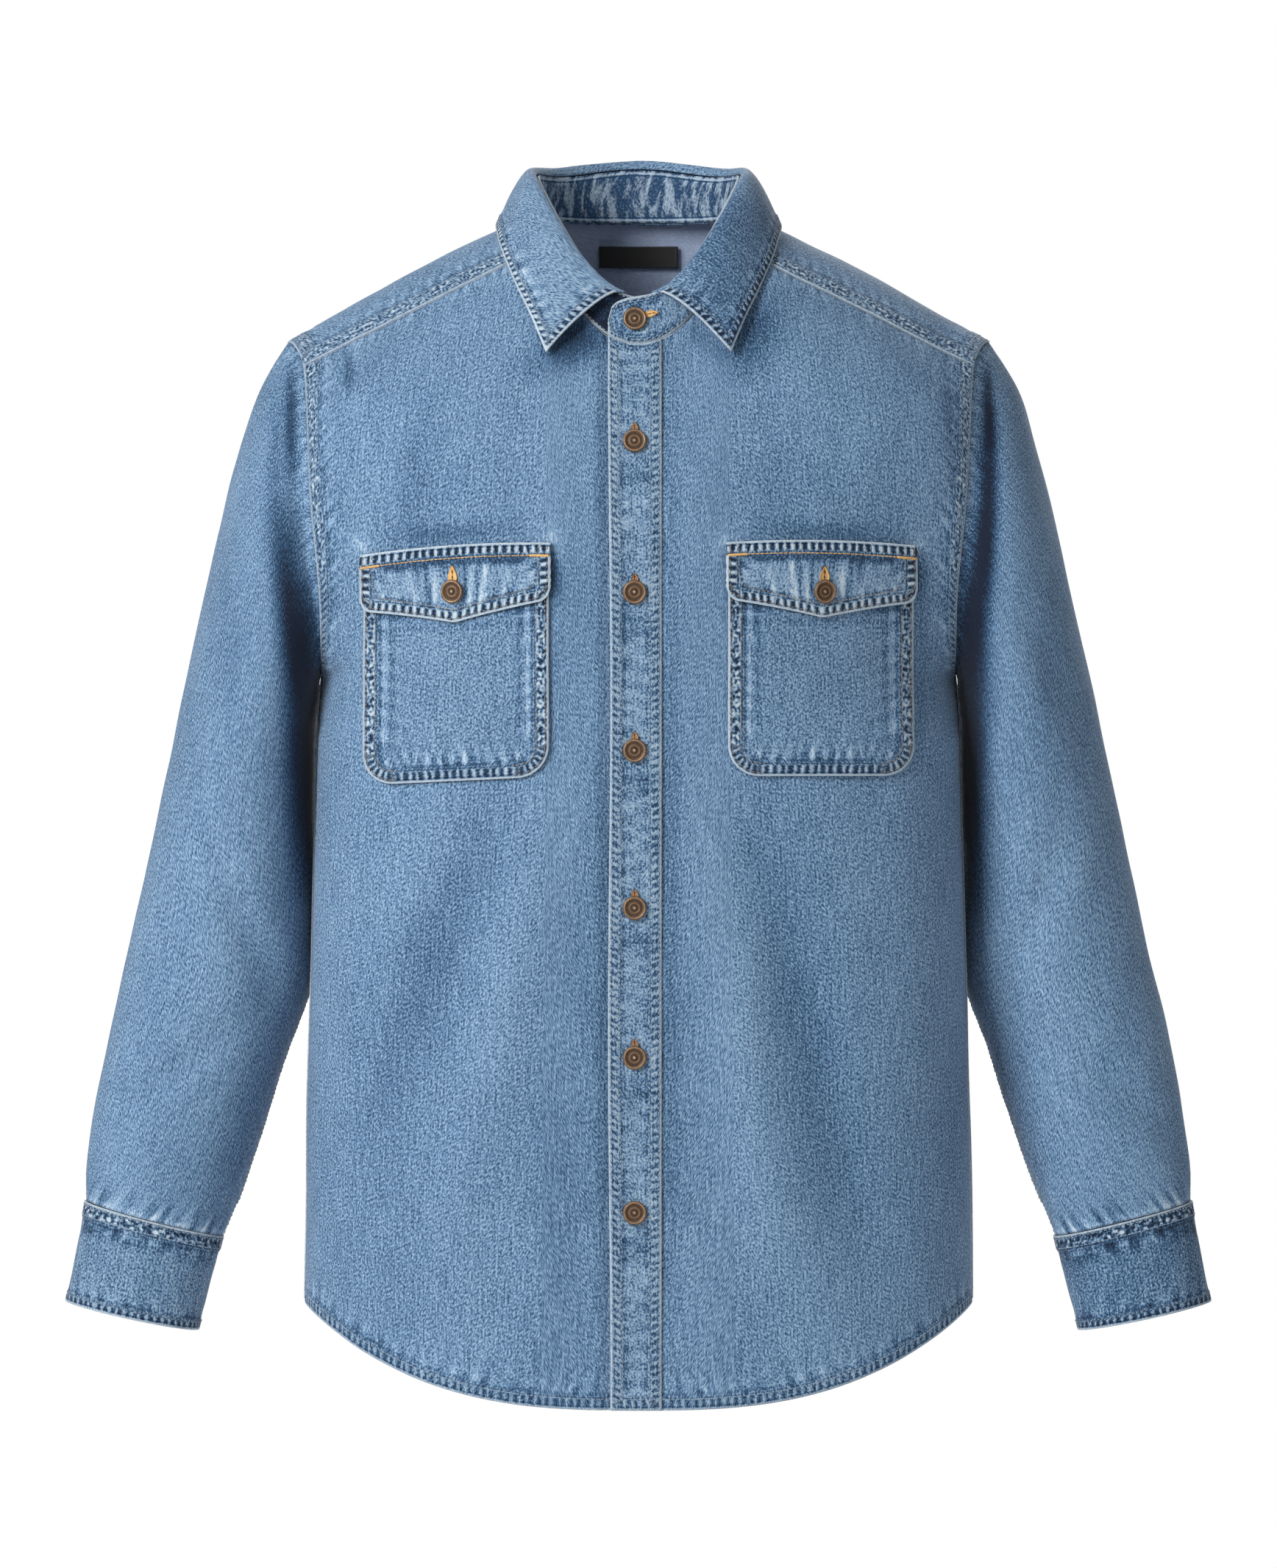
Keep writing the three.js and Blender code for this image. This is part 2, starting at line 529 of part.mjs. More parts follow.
// Fronts: each runs from under the front band to the side. The wearer's right front steps in below the left one.
function addFronts() {
  const half = FRONT_TOP_HALF;
  const near = {
    1: [LEFT_FRONT_EDGE, LEFT_FRONT_EDGE / 2, 0],
    "-1": [RIGHT_FRONT_EDGE, 0, -11, LAP_FULL, LAP_START],
  };
  for (const side of [1, -1]) {
    const starts = near[side].map((x) => ({ x }));
    const neck = NECK_FRONT_ANGLES.map(neckFraction).filter((fraction) => fraction * half > (side > 0 ? 1 : 30));
    const rest = [...neck.slice(0, -1), ...PANEL_FRACTIONS].map((fraction) => ({ fraction: side * fraction }));
    const columns = [...starts, ...rest];
    const halfAt = (down) => sideEdge(mix(FRONT_TOP_Z, HEM.sideZ, down), false).x;
    const at = (column, down) => frontPoint(column.x === undefined ? column.fraction : column.x / halfAt(down), down);
    const sheet = trimSheet(sheetOf(FRONT_DOWNS, columns, at), { top: SEAM_GAP / 2, last: SEAM_GAP / 2 });
    const last = columns.length - 1;
    const firstSeam = columns.length - PANEL_FRACTIONS.length;
    const normalAt = (i, j) => {
      if (j === last) return edgeNormal(side, mix(ARMHOLE.front, 0, Math.min(1, i / ARMHOLE_STEPS)));
      if (i > 0 || j < firstSeam) return undefined;
      const reach = (Math.abs(columns[j].fraction) - CORNER_FRACTION) / (1 - CORNER_FRACTION);
      return frontSeamNormal(side, reach);
    };
    const stepIn = (i, j) => {
      if (side > 0) return 0;
      const x = sheet[i][j].x;
      return -LAP_STEP * smooth((x - LAP_START) / (LAP_FULL - LAP_START));
    };
    const options = { facing: side, lift: stepIn, relief: hemRelief(FRONT_DOWNS), normalAt };
    addPiece(side > 0 ? "front_left" : "front_right", clothWall(sheet, options), DENIM);
  }
}

function addBack() {
  const half = [0, CORNER_FRACTION / 2, ...PANEL_FRACTIONS];
  const columns = [...half.slice(1).reverse().map((fraction) => -fraction), ...half];
  const gap = SEAM_GAP / 2;
  const sheet = trimSheet(sheetOf(BACK_DOWNS, columns, backPoint), { top: gap, first: gap, last: gap });
  const last = columns.length - 1;
  const normalAt = (i, j) => {
    const side = Math.sign(columns[j]);
    if (j === 0 || j === last) return edgeNormal(side, mix(ARMHOLE.back, 360, Math.min(1, i / ARMHOLE_STEPS)));
    return i === 0 ? backSeamNormal(columns[j]) : undefined;
  };
  const options = { facing: -1, relief: hemRelief(BACK_DOWNS), normalAt };
  addPiece("back", clothWall(sheet, options), DENIM);
}

// Yoke: one piece round the back of the neck, from the wearer's right front seam to the left one.
function addYoke() {
  const rays = YOKE_RAYS.length - 1;
  const columns = [];
  for (let ray = 0; ray <= rays; ray += 1) columns.push({ side: 1, ray });
  for (let ray = rays - 1; ray >= 0; ray -= 1) columns.push({ side: -1, ray });
  const reaches = PANEL_FRACTIONS.map((fraction) => (fraction - CORNER_FRACTION) / (1 - CORNER_FRACTION));
  const at = (column, reach) => yokePoint(column.side, column.ray, reach);
  const gap = SEAM_GAP / 2;
  const sheet = trimSheet(sheetOf(reaches, columns, at), { top: gap, bottom: gap, first: gap, last: gap });
  const normalAt = (i, j) => {
    const { side, ray } = columns[j];
    const row = YOKE_RAYS[ray];
    if (i === reaches.length - 1) {
      return row.armhole === undefined ? backSeamNormal(side * row.back) : armholeNormal(side, row.armhole);
    }
    return ray === 0 ? frontSeamNormal(side, reaches[i]) : undefined;
  };
  addPiece("yoke", clothWall(sheet, { facing: 1, normalAt }), DENIM);
}

// Sleeve columns share the armhole divisions of the fronts, the yoke and the back.
const SLEEVE_ANGLES = [
  ...steps(0, ARMHOLE.front, ARMHOLE_STEPS),
  ...steps(ARMHOLE.front, ARMHOLE.back, 4).slice(1),
  ...steps(ARMHOLE.back, 360, ARMHOLE_STEPS).slice(1, -1),
];

function addSleeves() {
  const rings = steps(0, SLEEVE_RINGS.length - 1, 17);
  for (const side of [1, -1]) {
    const at = (angle, ring) => sleevePoint(side, angle, ring);
    const sheet = trimSheet(sheetOf(rings, SLEEVE_ANGLES, at), { top: SEAM_GAP / 2, bottom: SEAM_GAP / 2 });
    const normalAt = (i, j) => {
      if (i > 0 || nearUnderarm(SLEEVE_ANGLES[j])) return undefined;
      return armholeNormal(side, SLEEVE_ANGLES[j]);
    };
    const options = { facing: side, closed: true, normalAt };
    addPiece(side > 0 ? "sleeve_left" : "sleeve_right", clothWall(sheet, options), DENIM);
  }
}

// Cuffs: a band that goes round the wrist and laps over its own start.
function cuffPoint(side, turn, down) {
  const angle = CUFF.lapAngle - turn * (360 + CUFF.lapSpan);
  const point = loopPoint(CUFF.top, angle).lerp(loopPoint(CUFF.bottom, angle), down);
  const inner = loopPoint(CUFF.top, 0).lerp(loopPoint(CUFF.bottom, 0), down);
  const outer = loopPoint(CUFF.top, 180).lerp(loopPoint(CUFF.bottom, 180), down);
  const out = point.clone().sub(inner.lerp(outer, 0.5)).normalize();
  point.addScaledVector(out, -CUFF.lapStep * smooth(CUFF.lapEnd - turn * CUFF.lapRise));
  point.x *= side;
  return point;
}

function addCuffs() {
  for (const side of [1, -1]) {
    const turns = steps(0, 1, 28);
    const at = (turn, down) => cuffPoint(side, turn, down);
    const sheet = trimSheet(sheetOf(steps(0, 1, 3), turns, at), { top: SEAM_GAP / 2 });
    const options = { facing: -side, wall: CUFF.wall };
    addPiece(side > 0 ? "cuff_left" : "cuff_right", clothWall(sheet, options), DENIM_EDGE);
  }
}

// Strips at the cuff slits, laid on the back of each sleeve in line with the cuff's lap.
function addSleevePlackets() {
  const angles = steps(CUFF.lapAngle - SLEEVE_PLACKET.halfAngle, CUFF.lapAngle + SLEEVE_PLACKET.halfAngle, 3);
  const rings = steps(SLEEVE_PLACKET.topRing, SLEEVE_PLACKET.endRing, 7);
  for (const side of [1, -1]) {
    const sheet = sheetOf(rings, angles, (angle, ring) => sleevePoint(side, angle, ring));
    const lift = () => SLEEVE_PLACKET.gap + SLEEVE_PLACKET.wall;
    const options = { facing: side, wall: SLEEVE_PLACKET.wall, lift };
    const name = side > 0 ? "sleeve_placket_left" : "sleeve_placket_right";
    addPiece(name, clothWall(trimSheet(sheet, { bottom: SEAM_GAP * 2 }), options), DENIM_EDGE);
  }
}

// Collar stand: a band round the neck. The wearer's left end laps over the right one, and both top corners are round.
const LEFT_END_ANGLE = -(Math.asin(-LEFT_FRONT_EDGE / NECK.halfWidth) * 180) / Math.PI;
const STAND_ANGLES = [
  STAND_END.left,
  LEFT_END_ANGLE,
  LEFT_END_ANGLE / 2,
  ...NECK_FRONT_ANGLES,
  ...YOKE_RAYS.slice(1).map((row) => row.neck),
  ...YOKE_RAYS.slice(0, -1).reverse().map((row) => 360 - row.neck),
  ...steps(360 - NECK_CORNER, 360, 6).slice(1),
  STAND_END.right,
];

function standPoint(angle, up) {
  const low = neckLoop(NECK, angle);
  const high = neckLoop(STAND_TOP, angle);
  const height = high.distanceTo(low);
  const fromEnd = Math.min(angle - STAND_END.left, STAND_END.right - angle) * radians(1) * NECK.halfWidth;
  const corner = STAND_END.corner;
  const cut = fromEnd < corner ? corner - Math.sqrt(corner ** 2 - (corner - fromEnd) ** 2) : 0;
  return low.lerp(high, (up * (height - cut)) / height);
}

function addStand() {
  const sheet = sheetOf(steps(1, 0, 3), STAND_ANGLES, standPoint);
  const trimmed = trimSheet(sheet, { top: SEAM_GAP / 2, bottom: SEAM_GAP / 2 });
  const under = (j) => smooth((STAND_ANGLES[j] - STAND_END.lapFrom) / (STAND_END.lapTo - STAND_END.lapFrom));
  const lift = (i, j) => -(STAND_WALL + SEAM_GAP * 2) * under(j);
  addPiece("collar_stand", clothWall(trimmed, { facing: 1, wall: STAND_WALL, lift }), DENIM_EDGE);
}

// Collar fall: rises from the stand's top edge, rolls over and comes down to its free edge and two points.
function fallPoint(angle, down) {
  const mirrored = angle > 180 ? 360 - angle : angle;
  const start = neckLoop(STAND_TOP, mirrored);
  const read = (column) => readTable(COLLAR_FALL, "angle", column, mirrored);
  start.z += FALL_SEAT + WALL * (COLLAR_FALL[0].rise / read("rise"));
  const edge = new THREE.Vector3(read("x"), read("y"), read("z"));
  const rise = read("rise");
  const roll = start.clone().lerp(edge, ROLL_REACH);
  roll.z = start.z + rise;
  const point = start.multiplyScalar((1 - down) ** 2);
  point.addScaledVector(roll, 2 * down * (1 - down)).addScaledVector(edge, down ** 2);
  if (angle > 180) point.x = -point.x;
  return point;
}

function addCollar() {
  const first = COLLAR_FALL[0].angle;
  const half = [first, ...NECK_FRONT_ANGLES.slice(1), ...YOKE_RAYS.slice(1).map((row) => row.neck)];
  const angles = [...half, ...half.slice(0, -1).reverse().map((angle) => 360 - angle)];
  const downs = [0, 0.08, 0.18, 0.3, 0.45, 0.62, 0.8, 1];
  const sheet = trimSheet(sheetOf(downs, angles, fallPoint), { top: SEAM_GAP });
  const relief = (i) => (i >= downs.length - 1 ? EDGE_RELIEF : 0);
  const outOfNeck = (angle) => new THREE.Vector3(Math.sin(radians(angle)), -Math.cos(radians(angle)), 0);
  const normalAt = (i, j) => (i === 0 ? outOfNeck(angles[j]) : undefined);
  addPiece("collar", clothWall(sheet, { facing: 1, wall: COLLAR_WALL, relief, normalAt }), DENIM_EDGE);
}

// Front band, sewn on the wearer's left front from the neck seam to the hem
function addPlacket() {
  const columns = steps(PLACKET.left, PLACKET.right, 3);
  const at = (x, down) => {
    const z = mix(FRONT_TOP_Z, HEM.sideZ, down);
    const wave = x === PLACKET.left ? PLACKET.wave * Math.sin(z / PLACKET.waveLength) : 0;
    return frontPoint((x + wave) / sideEdge(z, false).x, down);
  };
  const sheet = trimSheet(sheetOf(FRONT_DOWNS, columns, at), { top: SEAM_GAP / 2 });
  const lift = (i) => SEAM_GAP + PLACKET.wall + hemRelief(FRONT_DOWNS)(i);
  addPiece("placket", clothWall(sheet, { facing: 1, wall: PLACKET.wall, lift }), DENIM_EDGE);
}

// Pockets and flaps are laid on the fronts: their points are points of the front, moved out.
// x is measured outwards from the middle of the pocket.
function pocketPlace(side, x, z) {
  const { rise, slant } = side > 0 ? POCKET_SET.left : POCKET_SET.right;
  return { x: side * (POCKET.x + x), z: z + rise - slant * x };
}

function laidOn(side, acrosses, downs, place, out) {
  return sheetOf(downs, acrosses, (across, down) => {
    const { x, z } = place(across, down);
    const at = pocketPlace(side, x, z);
    return frontAt(at.x, at.z).addScaledVector(frontNormalAt(at.x, at.z), out(down));
  });
}

function addPockets() {
  const rounding = (z) => {
    const above = z - POCKET.bottom;
    const low = Math.max(0, POCKET.corner - above);
    return POCKET.halfWidth - POCKET.corner + Math.sqrt(POCKET.corner ** 2 - low ** 2);
  };
  const cornerTop = POCKET.bottom + POCKET.corner;
  const round = [0.66, 0.34, 0.12, 0].map((t) => POCKET.bottom + t * POCKET.corner);
  const downs = [...steps(POCKET.top, cornerTop, 6), ...round];
  for (const side of [1, -1]) {
    const place = (across, z) => ({ x: across * rounding(z), z });
    const sheet = laidOn(side, steps(-1, 1, 8), downs, place, () => POCKET.gap + POCKET.wall);
    const options = { facing: side, wall: POCKET.wall };
    addPiece(side > 0 ? "pocket_left" : "pocket_right", clothWall(sheet, options), DENIM);
  }
}

// A flap is longest at its middle, and its lower corners are round.
function flapHeight(across) {
  const away = Math.abs(across);
  const intoCorner = Math.max(0, FLAP.corner - FLAP.halfWidth * (1 - away));
  const cut = FLAP.corner - Math.sqrt(FLAP.corner ** 2 - intoCorner ** 2);
  return mix(FLAP.sideHeight, FLAP.pointHeight, (1 - smooth(away)) ** FLAP.pointPower) - cut;
}

function addFlaps() {
  for (const side of [1, -1]) {
    const place = (across, down) => {
      return { x: across * FLAP.halfWidth, z: FLAP.top - FLAP.arch * across ** 2 - down * flapHeight(across) };
    };
    const out = (down) => mix(POCKET.gap, FLAP.stand, smooth(down * 6)) + FLAP.wall;
    const sheet = laidOn(side, FLAP_COLUMNS, FLAP_ROWS, place, out);
    const options = { facing: side, wall: FLAP.wall };
    addPiece(side > 0 ? "flap_left" : "flap_right", clothWall(sheet, options), DENIM_EDGE);
  }
}

// Neck label: laid on the inside of the yoke, below the stand.
function yokeInside(x, z) {
  const backRay = YOKE_RAYS.length - 1;
  const yokeLength = 130;
  let reach = 0.2;
  for (let round = 0; round < 20; round += 1) {
    reach = clamp01(reach + (yokePoint(1, backRay, reach).z - z) / yokeLength);
  }
  const point = yokePoint(1, backRay, reach);
  const curve = LABEL.curve * (x / LABEL.curveWidth) ** 2;
  return new THREE.Vector3(x, point.y - curve - WALL - LABEL.gap, point.z);
}

function addLabel() {
  const columns = steps(-LABEL.halfWidth, LABEL.halfWidth, 4);
  const sheet = sheetOf(steps(LABEL.top, LABEL.bottom, 2), columns, yokeInside);
  addPiece("label", clothWall(sheet, { facing: -1, wall: LABEL.wall }), LABEL_CLOTH);
}

// Shank buttons: a domed cap with a raised rim, seated on the cloth below it.
function addButton(name, place, normal, seat) {
  const r = BUTTON.radius;
  const profile = [[0, 0], [0.7 * r, 0], [r, 1.3], [0.94 * r, 2.7], [0.68 * r, 2.1], [0, 2.9]];
  const geometry = new THREE.LatheGeometry(profile.map(([x, y]) => new THREE.Vector2(x, y)), 12);
  const mesh = addPiece(name, geometry, BRASS);
  mesh.quaternion.setFromUnitVectors(new THREE.Vector3(0, 1, 0), normal);
  mesh.position.copy(place).addScaledVector(normal, seat);
}

function addButtons() {
  const onPlacket = SEAM_GAP * 2 + PLACKET.wall;
  BUTTON.placketZ.forEach((z, k) => {
    addButton(`button_front_${k + 1}`, frontAt(BUTTON.x, z), frontNormalAt(BUTTON.x, z), onPlacket);
  });
  for (const side of [1, -1]) {
    const x = side * BUTTON.flapX;
    const flapTop = SEAM_GAP + FLAP.stand + FLAP.wall;
    const name = side > 0 ? "left" : "right";
    addButton(`button_flap_${name}`, frontAt(x, BUTTON.flapZ), frontNormalAt(x, BUTTON.flapZ), flapTop);
    const around = (along, down) => cuffPoint(side, along, down);
    const turn = BUTTON.cuffTurn;
    const across = around(turn + 0.01, 0.5).sub(around(turn - 0.01, 0.5));
    const down = around(turn, 0.6).sub(around(turn, 0.4));
    const normal = down.cross(across).multiplyScalar(-side).normalize();
    addButton(`button_cuff_${name}`, around(turn, 0.5), normal, SEAM_GAP * 2);
  }
  const seat = standPoint(BUTTON.standAngle, BUTTON.standUp);
  const lean = standPoint(BUTTON.standAngle, 0.9).sub(seat);
  addButton("button_collar", seat, new THREE.Vector3(1, 0, 0).cross(lean).normalize(), SEAM_GAP * 2);
}

addFronts();
addBack();
addYoke();
addSleeves();
addCuffs();
addSleevePlackets();
addStand();
addCollar();
addPlacket();
addPockets();
addFlaps();
addLabel();
addButtons();

export default shirt;
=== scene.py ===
"""Denim shirt, filled out with no wearer: the looks of its cloth, sewing and buttons."""
import math

import bmesh
import bpy
from mathutils import Matrix, Vector, noise


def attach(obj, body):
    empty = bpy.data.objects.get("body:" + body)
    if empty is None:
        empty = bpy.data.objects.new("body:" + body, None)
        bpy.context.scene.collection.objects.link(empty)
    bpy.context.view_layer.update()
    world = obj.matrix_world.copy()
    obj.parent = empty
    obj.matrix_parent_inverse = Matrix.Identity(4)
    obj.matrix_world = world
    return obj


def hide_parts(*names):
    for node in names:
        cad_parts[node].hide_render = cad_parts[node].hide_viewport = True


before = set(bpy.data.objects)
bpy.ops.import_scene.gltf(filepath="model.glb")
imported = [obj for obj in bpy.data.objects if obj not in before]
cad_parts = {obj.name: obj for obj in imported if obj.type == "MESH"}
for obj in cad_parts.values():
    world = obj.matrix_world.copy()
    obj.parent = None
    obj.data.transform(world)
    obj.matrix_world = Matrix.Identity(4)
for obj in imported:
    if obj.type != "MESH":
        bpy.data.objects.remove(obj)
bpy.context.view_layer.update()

# Studio. The shirt is seen straight on, at the height of its middle, against plain white.
# One large soft light stands at the upper left, a weaker one at the right, and a pale floor lies well below.
CAMERA_AWAY = 4.5
CAMERA_HEIGHT = -0.3604
VIEW_HEIGHT = 1.0442
SENSOR = 36.0
FLOOR_HEIGHT = -1.6
FLOOR_RADIUS = 4.0

camera = bpy.data.objects.new("camera", bpy.data.cameras.new("camera"))
camera.data.sensor_width = SENSOR
camera.data.lens = SENSOR * CAMERA_AWAY / VIEW_HEIGHT
camera.location = (0, -CAMERA_AWAY, CAMERA_HEIGHT)
camera.rotation_euler = (math.radians(90), 0, 0)
bpy.context.scene.collection.objects.link(camera)
bpy.context.scene.camera = camera
bpy.context.scene.view_settings.view_transform = "Standard"


def soft_light(name, place, aim, size, power):
    """A square softbox that faces a point."""
    lamp = bpy.data.objects.new(name, bpy.data.lights.new(name, "AREA"))
    lamp.data.size = size
    lamp.data.energy = power
    lamp.location = place
    lamp.rotation_euler = (Vector(aim) - Vector(place)).to_track_quat("-Z", "Y").to_euler()
    bpy.context.scene.collection.objects.link(lamp)


soft_light("key_light", (-2.7, -3.1, 1.5), (0, 0, -0.35), 1.8, 215)
soft_light("fill_light", (3.0, -3.4, 0.2), (0, 0, -0.4), 2.2, 20)
soft_light("back_light", (0.6, 3.6, 1.6), (0, 0, -0.3), 2.4, 110)


class Field:
    """A shader socket with arithmetic, so that a mask or a pattern is written as one expression."""

    def __init__(self, tree, socket=None):
        self.tree = tree
        self.socket = socket

    def node(self, kind, settings=None, inputs=None, output=0):
        made = self.tree.nodes.new(kind)
        for key, value in (settings or {}).items():
            setattr(made, key, value)
        for key, value in (inputs or {}).items():
            if isinstance(value, Field):
                self.tree.links.new(value.socket, made.inputs[key])
            else:
                made.inputs[key].default_value = value
        return Field(self.tree, made.outputs[output])

    def math(self, operation, *values):
        return self.node("ShaderNodeMath", {"operation": operation}, dict(enumerate(values)))

    def __add__(self, other):
        return self.math("ADD", self, other)

    def __sub__(self, other):
        return self.math("SUBTRACT", self, other)

    def __rsub__(self, other):
        return self.math("SUBTRACT", other, self)

    def __mul__(self, other):
        return self.math("MULTIPLY", self, other)

    def __truediv__(self, other):
        return self.math("DIVIDE", self, other)

    __radd__ = __add__
    __rmul__ = __mul__

    def ease(self, low, high):
        """0 below low, 1 above high, with a soft step between."""
        settings = {"interpolation_type": "SMOOTHSTEP"}
        return self.node("ShaderNodeMapRange", settings, {"Value": self, "From Min": low, "From Max": high})

    def within(self, low_start, low_end, high_start, high_end):
        """1 from low_end to high_start, with a soft step down to 0 on either side."""
        return self.ease(low_start, low_end) * (1 - self.ease(high_start, high_end))

    def sine(self):
        return self.math("SINE", self)

    def mixed(self, low, high):
        """A colour between two, with this field as the factor."""
        inputs = {0: self, 6: low, 7: high}
        return self.node("ShaderNodeMix", {"data_type": "RGBA"}, inputs, output=2)

    def cloud(self, place, scale, detail=2.0, dimensions="3D", **others):
        """Soft noise over a place, finer with more detail."""
        inputs = {"Vector": place, "Scale": scale, "Detail": detail, **others}
        return self.node("ShaderNodeTexNoise", {"noise_dimensions": dimensions}, inputs)


def new_material(name):
    material = bpy.data.materials.new(name)
    material.use_nodes = True
    material.node_tree.nodes.clear()
    return material, Field(material.node_tree)


def finish_material(start, constants, fields):
    """Puts the shader and the output on a material."""
    tree = start.tree
    shader = tree.nodes.new("ShaderNodeBsdfPrincipled")
    for key, value in constants.items():
        shader.inputs[key].default_value = value
    for key, value in fields.items():
        tree.links.new(value.socket, shader.inputs[key])
    output = tree.nodes.new("ShaderNodeOutputMaterial")
    tree.links.new(shader.outputs[0], output.inputs[0])


def new_object(name, bm, *materials):
    """An object in the scene, from a finished bmesh."""
    mesh = bpy.data.meshes.new(name)
    bm.to_mesh(mesh)
    bm.free()
    made = bpy.data.objects.new(name, mesh)
    for material in materials:
        made.data.materials.append(material)
    bpy.context.scene.collection.objects.link(made)
    return made


WORLD_SEEN = 1.0
WORLD_LIGHT = 0.30
world = bpy.data.worlds.new("studio")
bpy.context.scene.world = world
world.use_nodes = True
seen = Field(world.node_tree).node("ShaderNodeLightPath")
strength = seen * (WORLD_SEEN - WORLD_LIGHT) + WORLD_LIGHT
world.node_tree.nodes["Background"].inputs["Color"].default_value = (1, 1, 1, 1)
world.node_tree.links.new(strength.socket, world.node_tree.nodes["Background"].inputs["Strength"])

floor_material, start = new_material("pale_floor")
spots = start.cloud(start.node("ShaderNodeTexCoord", output=3), 3.0)
pale = spots.mixed((0.86, 0.86, 0.86, 1), (0.9, 0.9, 0.9, 1))
finish_material(start, {"Roughness": 0.9}, {"Base Color": pale})
floor_disc = bmesh.new()
bmesh.ops.create_circle(floor_disc, cap_ends=True, segments=96, radius=FLOOR_RADIUS)
bmesh.ops.translate(floor_disc, verts=floor_disc.verts, vec=(0, 0, FLOOR_HEIGHT))
floor = new_object("floor", floor_disc, floor_material)

# Fronts: two panels of washed denim from the neck and the yoke seam down to a turned hem.
# Each is felled to its sleeve with a lapped band, stitched twice, and the left one laps over the right.
# Sizes are millimetres in the CAD model's frame, and left and right are the wearer's.
SIDES = ((1, "left"), (-1, "right"))
WALL = 1.3
NECK = {"half_width": 68, "middle_y": -17.5, "half_depth": 79.5, "heights": (-9.5, -41.8, -18.5, -4.2)}
NECK_CORNER = 68
ARMHOLE = {
    "middle_y": 3, "middle_z": -176.75, "half_depth": 64, "half_height": 110.25, "front": 147, "back": 215,
}
ARMHOLE_REACH = (
    (0, 211), (30, 209.8), (60, 210.2), (90, 215), (120, 218), (147, 221.5), (165, 228), (180, 233.5),
)
UNDERARM_Z = ARMHOLE["middle_z"] - ARMHOLE["half_height"]
SIDE_SEAM_Y = 3
SIDE_SEAM = ((UNDERARM_Z, 211), (-310, 213), (-400, 215.5), (-505, 218.5), (-600, 221), (-703, 222))
FRONT_PROFILE = (
    (0, -62), (-40, -84), (-73, -97), (-110, -111), (-150, -121),
    (-190, -125), (-300, -123), (-500, -118), (-778, -115),
)
SECTION_POWER = 2.35
SECTION_REACH = {"at_armhole": 0.93, "start": -230, "length": 100}
SOFT_EDGE = {"start": -130, "above": 60, "below": 205, "power": 12}
TOP_BLEND = 0.12
HEM_SIDE_Z = -703
HEM_POWER = 2.85
HEM_WIDTH = 9
FRONT_DROP = 64
FOLD_FADE_POWER = 6

# Each fold: x and z of its two ends, its width, and how far it stands out or, below 0, sinks in
FRONT_FOLDS = (
    (-92, -372, -178, -610, 21, -5),
    (-62, -385, -131, -690, 22, 4.5),
    (76, -380, 153, -690, 21, -5),
    (50, -440, 96, -700, 20, 4),
    (175, -330, 196, -560, 18, 3),
)


def clamp01(t):
    return min(1.0, max(0.0, t))


def mix(a, b, t):
    return a + (b - a) * t


def smooth(t):
    t = clamp01(t)
    return t * t * (3 - 2 * t)


def steps(start, end, count):
    return [mix(start, end, k / count) for k in range(count + 1)]


def read_table(rows, at, column=1):
    """Reads one column of a table at any key, on a smooth curve through its rows."""
    rising = rows[1][0] > rows[0][0]
    k = 0
    while k < len(rows) - 2 and (at > rows[k + 1][0] if rising else at < rows[k + 1][0]):
        k += 1

    def slope(m):
        low, high = rows[max(0, m - 1)], rows[min(len(rows) - 1, m + 1)]
        return (high[column] - low[column]) / (high[0] - low[0])

    span = rows[k + 1][0] - rows[k][0]
    t = clamp01((at - rows[k][0]) / span)
    cubic = (2 * t**3 - 3 * t**2 + 1) * rows[k][column] + (3 * t**2 - 2 * t**3) * rows[k + 1][column]
    return cubic + span * ((t**3 - 2 * t**2 + t) * slope(k) + (t**3 - t**2) * slope(k + 1))


def fold_shift(folds, x, z):
    """Sum of soft folds at a place: each is deepest on its line and fades at both ends."""
    shift = 0.0
    for x1, z1, x2, z2, width, depth in folds:
        dx, dz = x2 - x1, z2 - z1
        t = clamp01(((x - x1) * dx + (z - z1) * dz) / (dx * dx + dz * dz))
        away = math.hypot(x - x1 - dx * t, z - z1 - dz * t) / width
        if away < 3:
            shift += depth * math.exp(-away * away) * math.sin(math.pi * mix(0.08, 0.92, t))
    return shift


def neck_loop(loop, angle):
    a = math.radians(angle)
    z = sum(height * math.cos(k * a) for k, height in enumerate(loop["heights"]))
    return Vector((loop["half_width"] * math.sin(a), loop["middle_y"] - loop["half_depth"] * math.cos(a), z))


def armhole_point(angle):
    a = math.radians(angle)
    reach = read_table(ARMHOLE_REACH, 360 - angle if angle > 180 else angle)
    y = ARMHOLE["middle_y"] - ARMHOLE["half_depth"] * math.sin(a)
    return Vector((reach, y, ARMHOLE["middle_z"] - ARMHOLE["half_height"] * math.cos(a)))


def side_edge(z, is_back):
    """Edge of a body panel at its side: the armhole seam down to the underarm, then the side seam."""
    if z <= UNDERARM_Z:
        return Vector((read_table(SIDE_SEAM, z), SIDE_SEAM_Y, z))
    angle = math.degrees(math.acos(max(-1, (ARMHOLE["middle_z"] - z) / ARMHOLE["half_height"])))
    return armhole_point(360 - angle if is_back else angle)


def section_turn(fraction, z):
    """How far a section has turned from the middle's depth to the edge's, at a fraction of its half width."""
    below = smooth((SECTION_REACH["start"] - z) / SECTION_REACH["length"])
    reach = mix(SECTION_REACH["at_armhole"], 1, below)

    def turn(t):
        return 1 - (1 - (reach * t) ** SECTION_POWER) ** (1 / SECTION_POWER)

    return turn(min(1.0, fraction)) / turn(1)


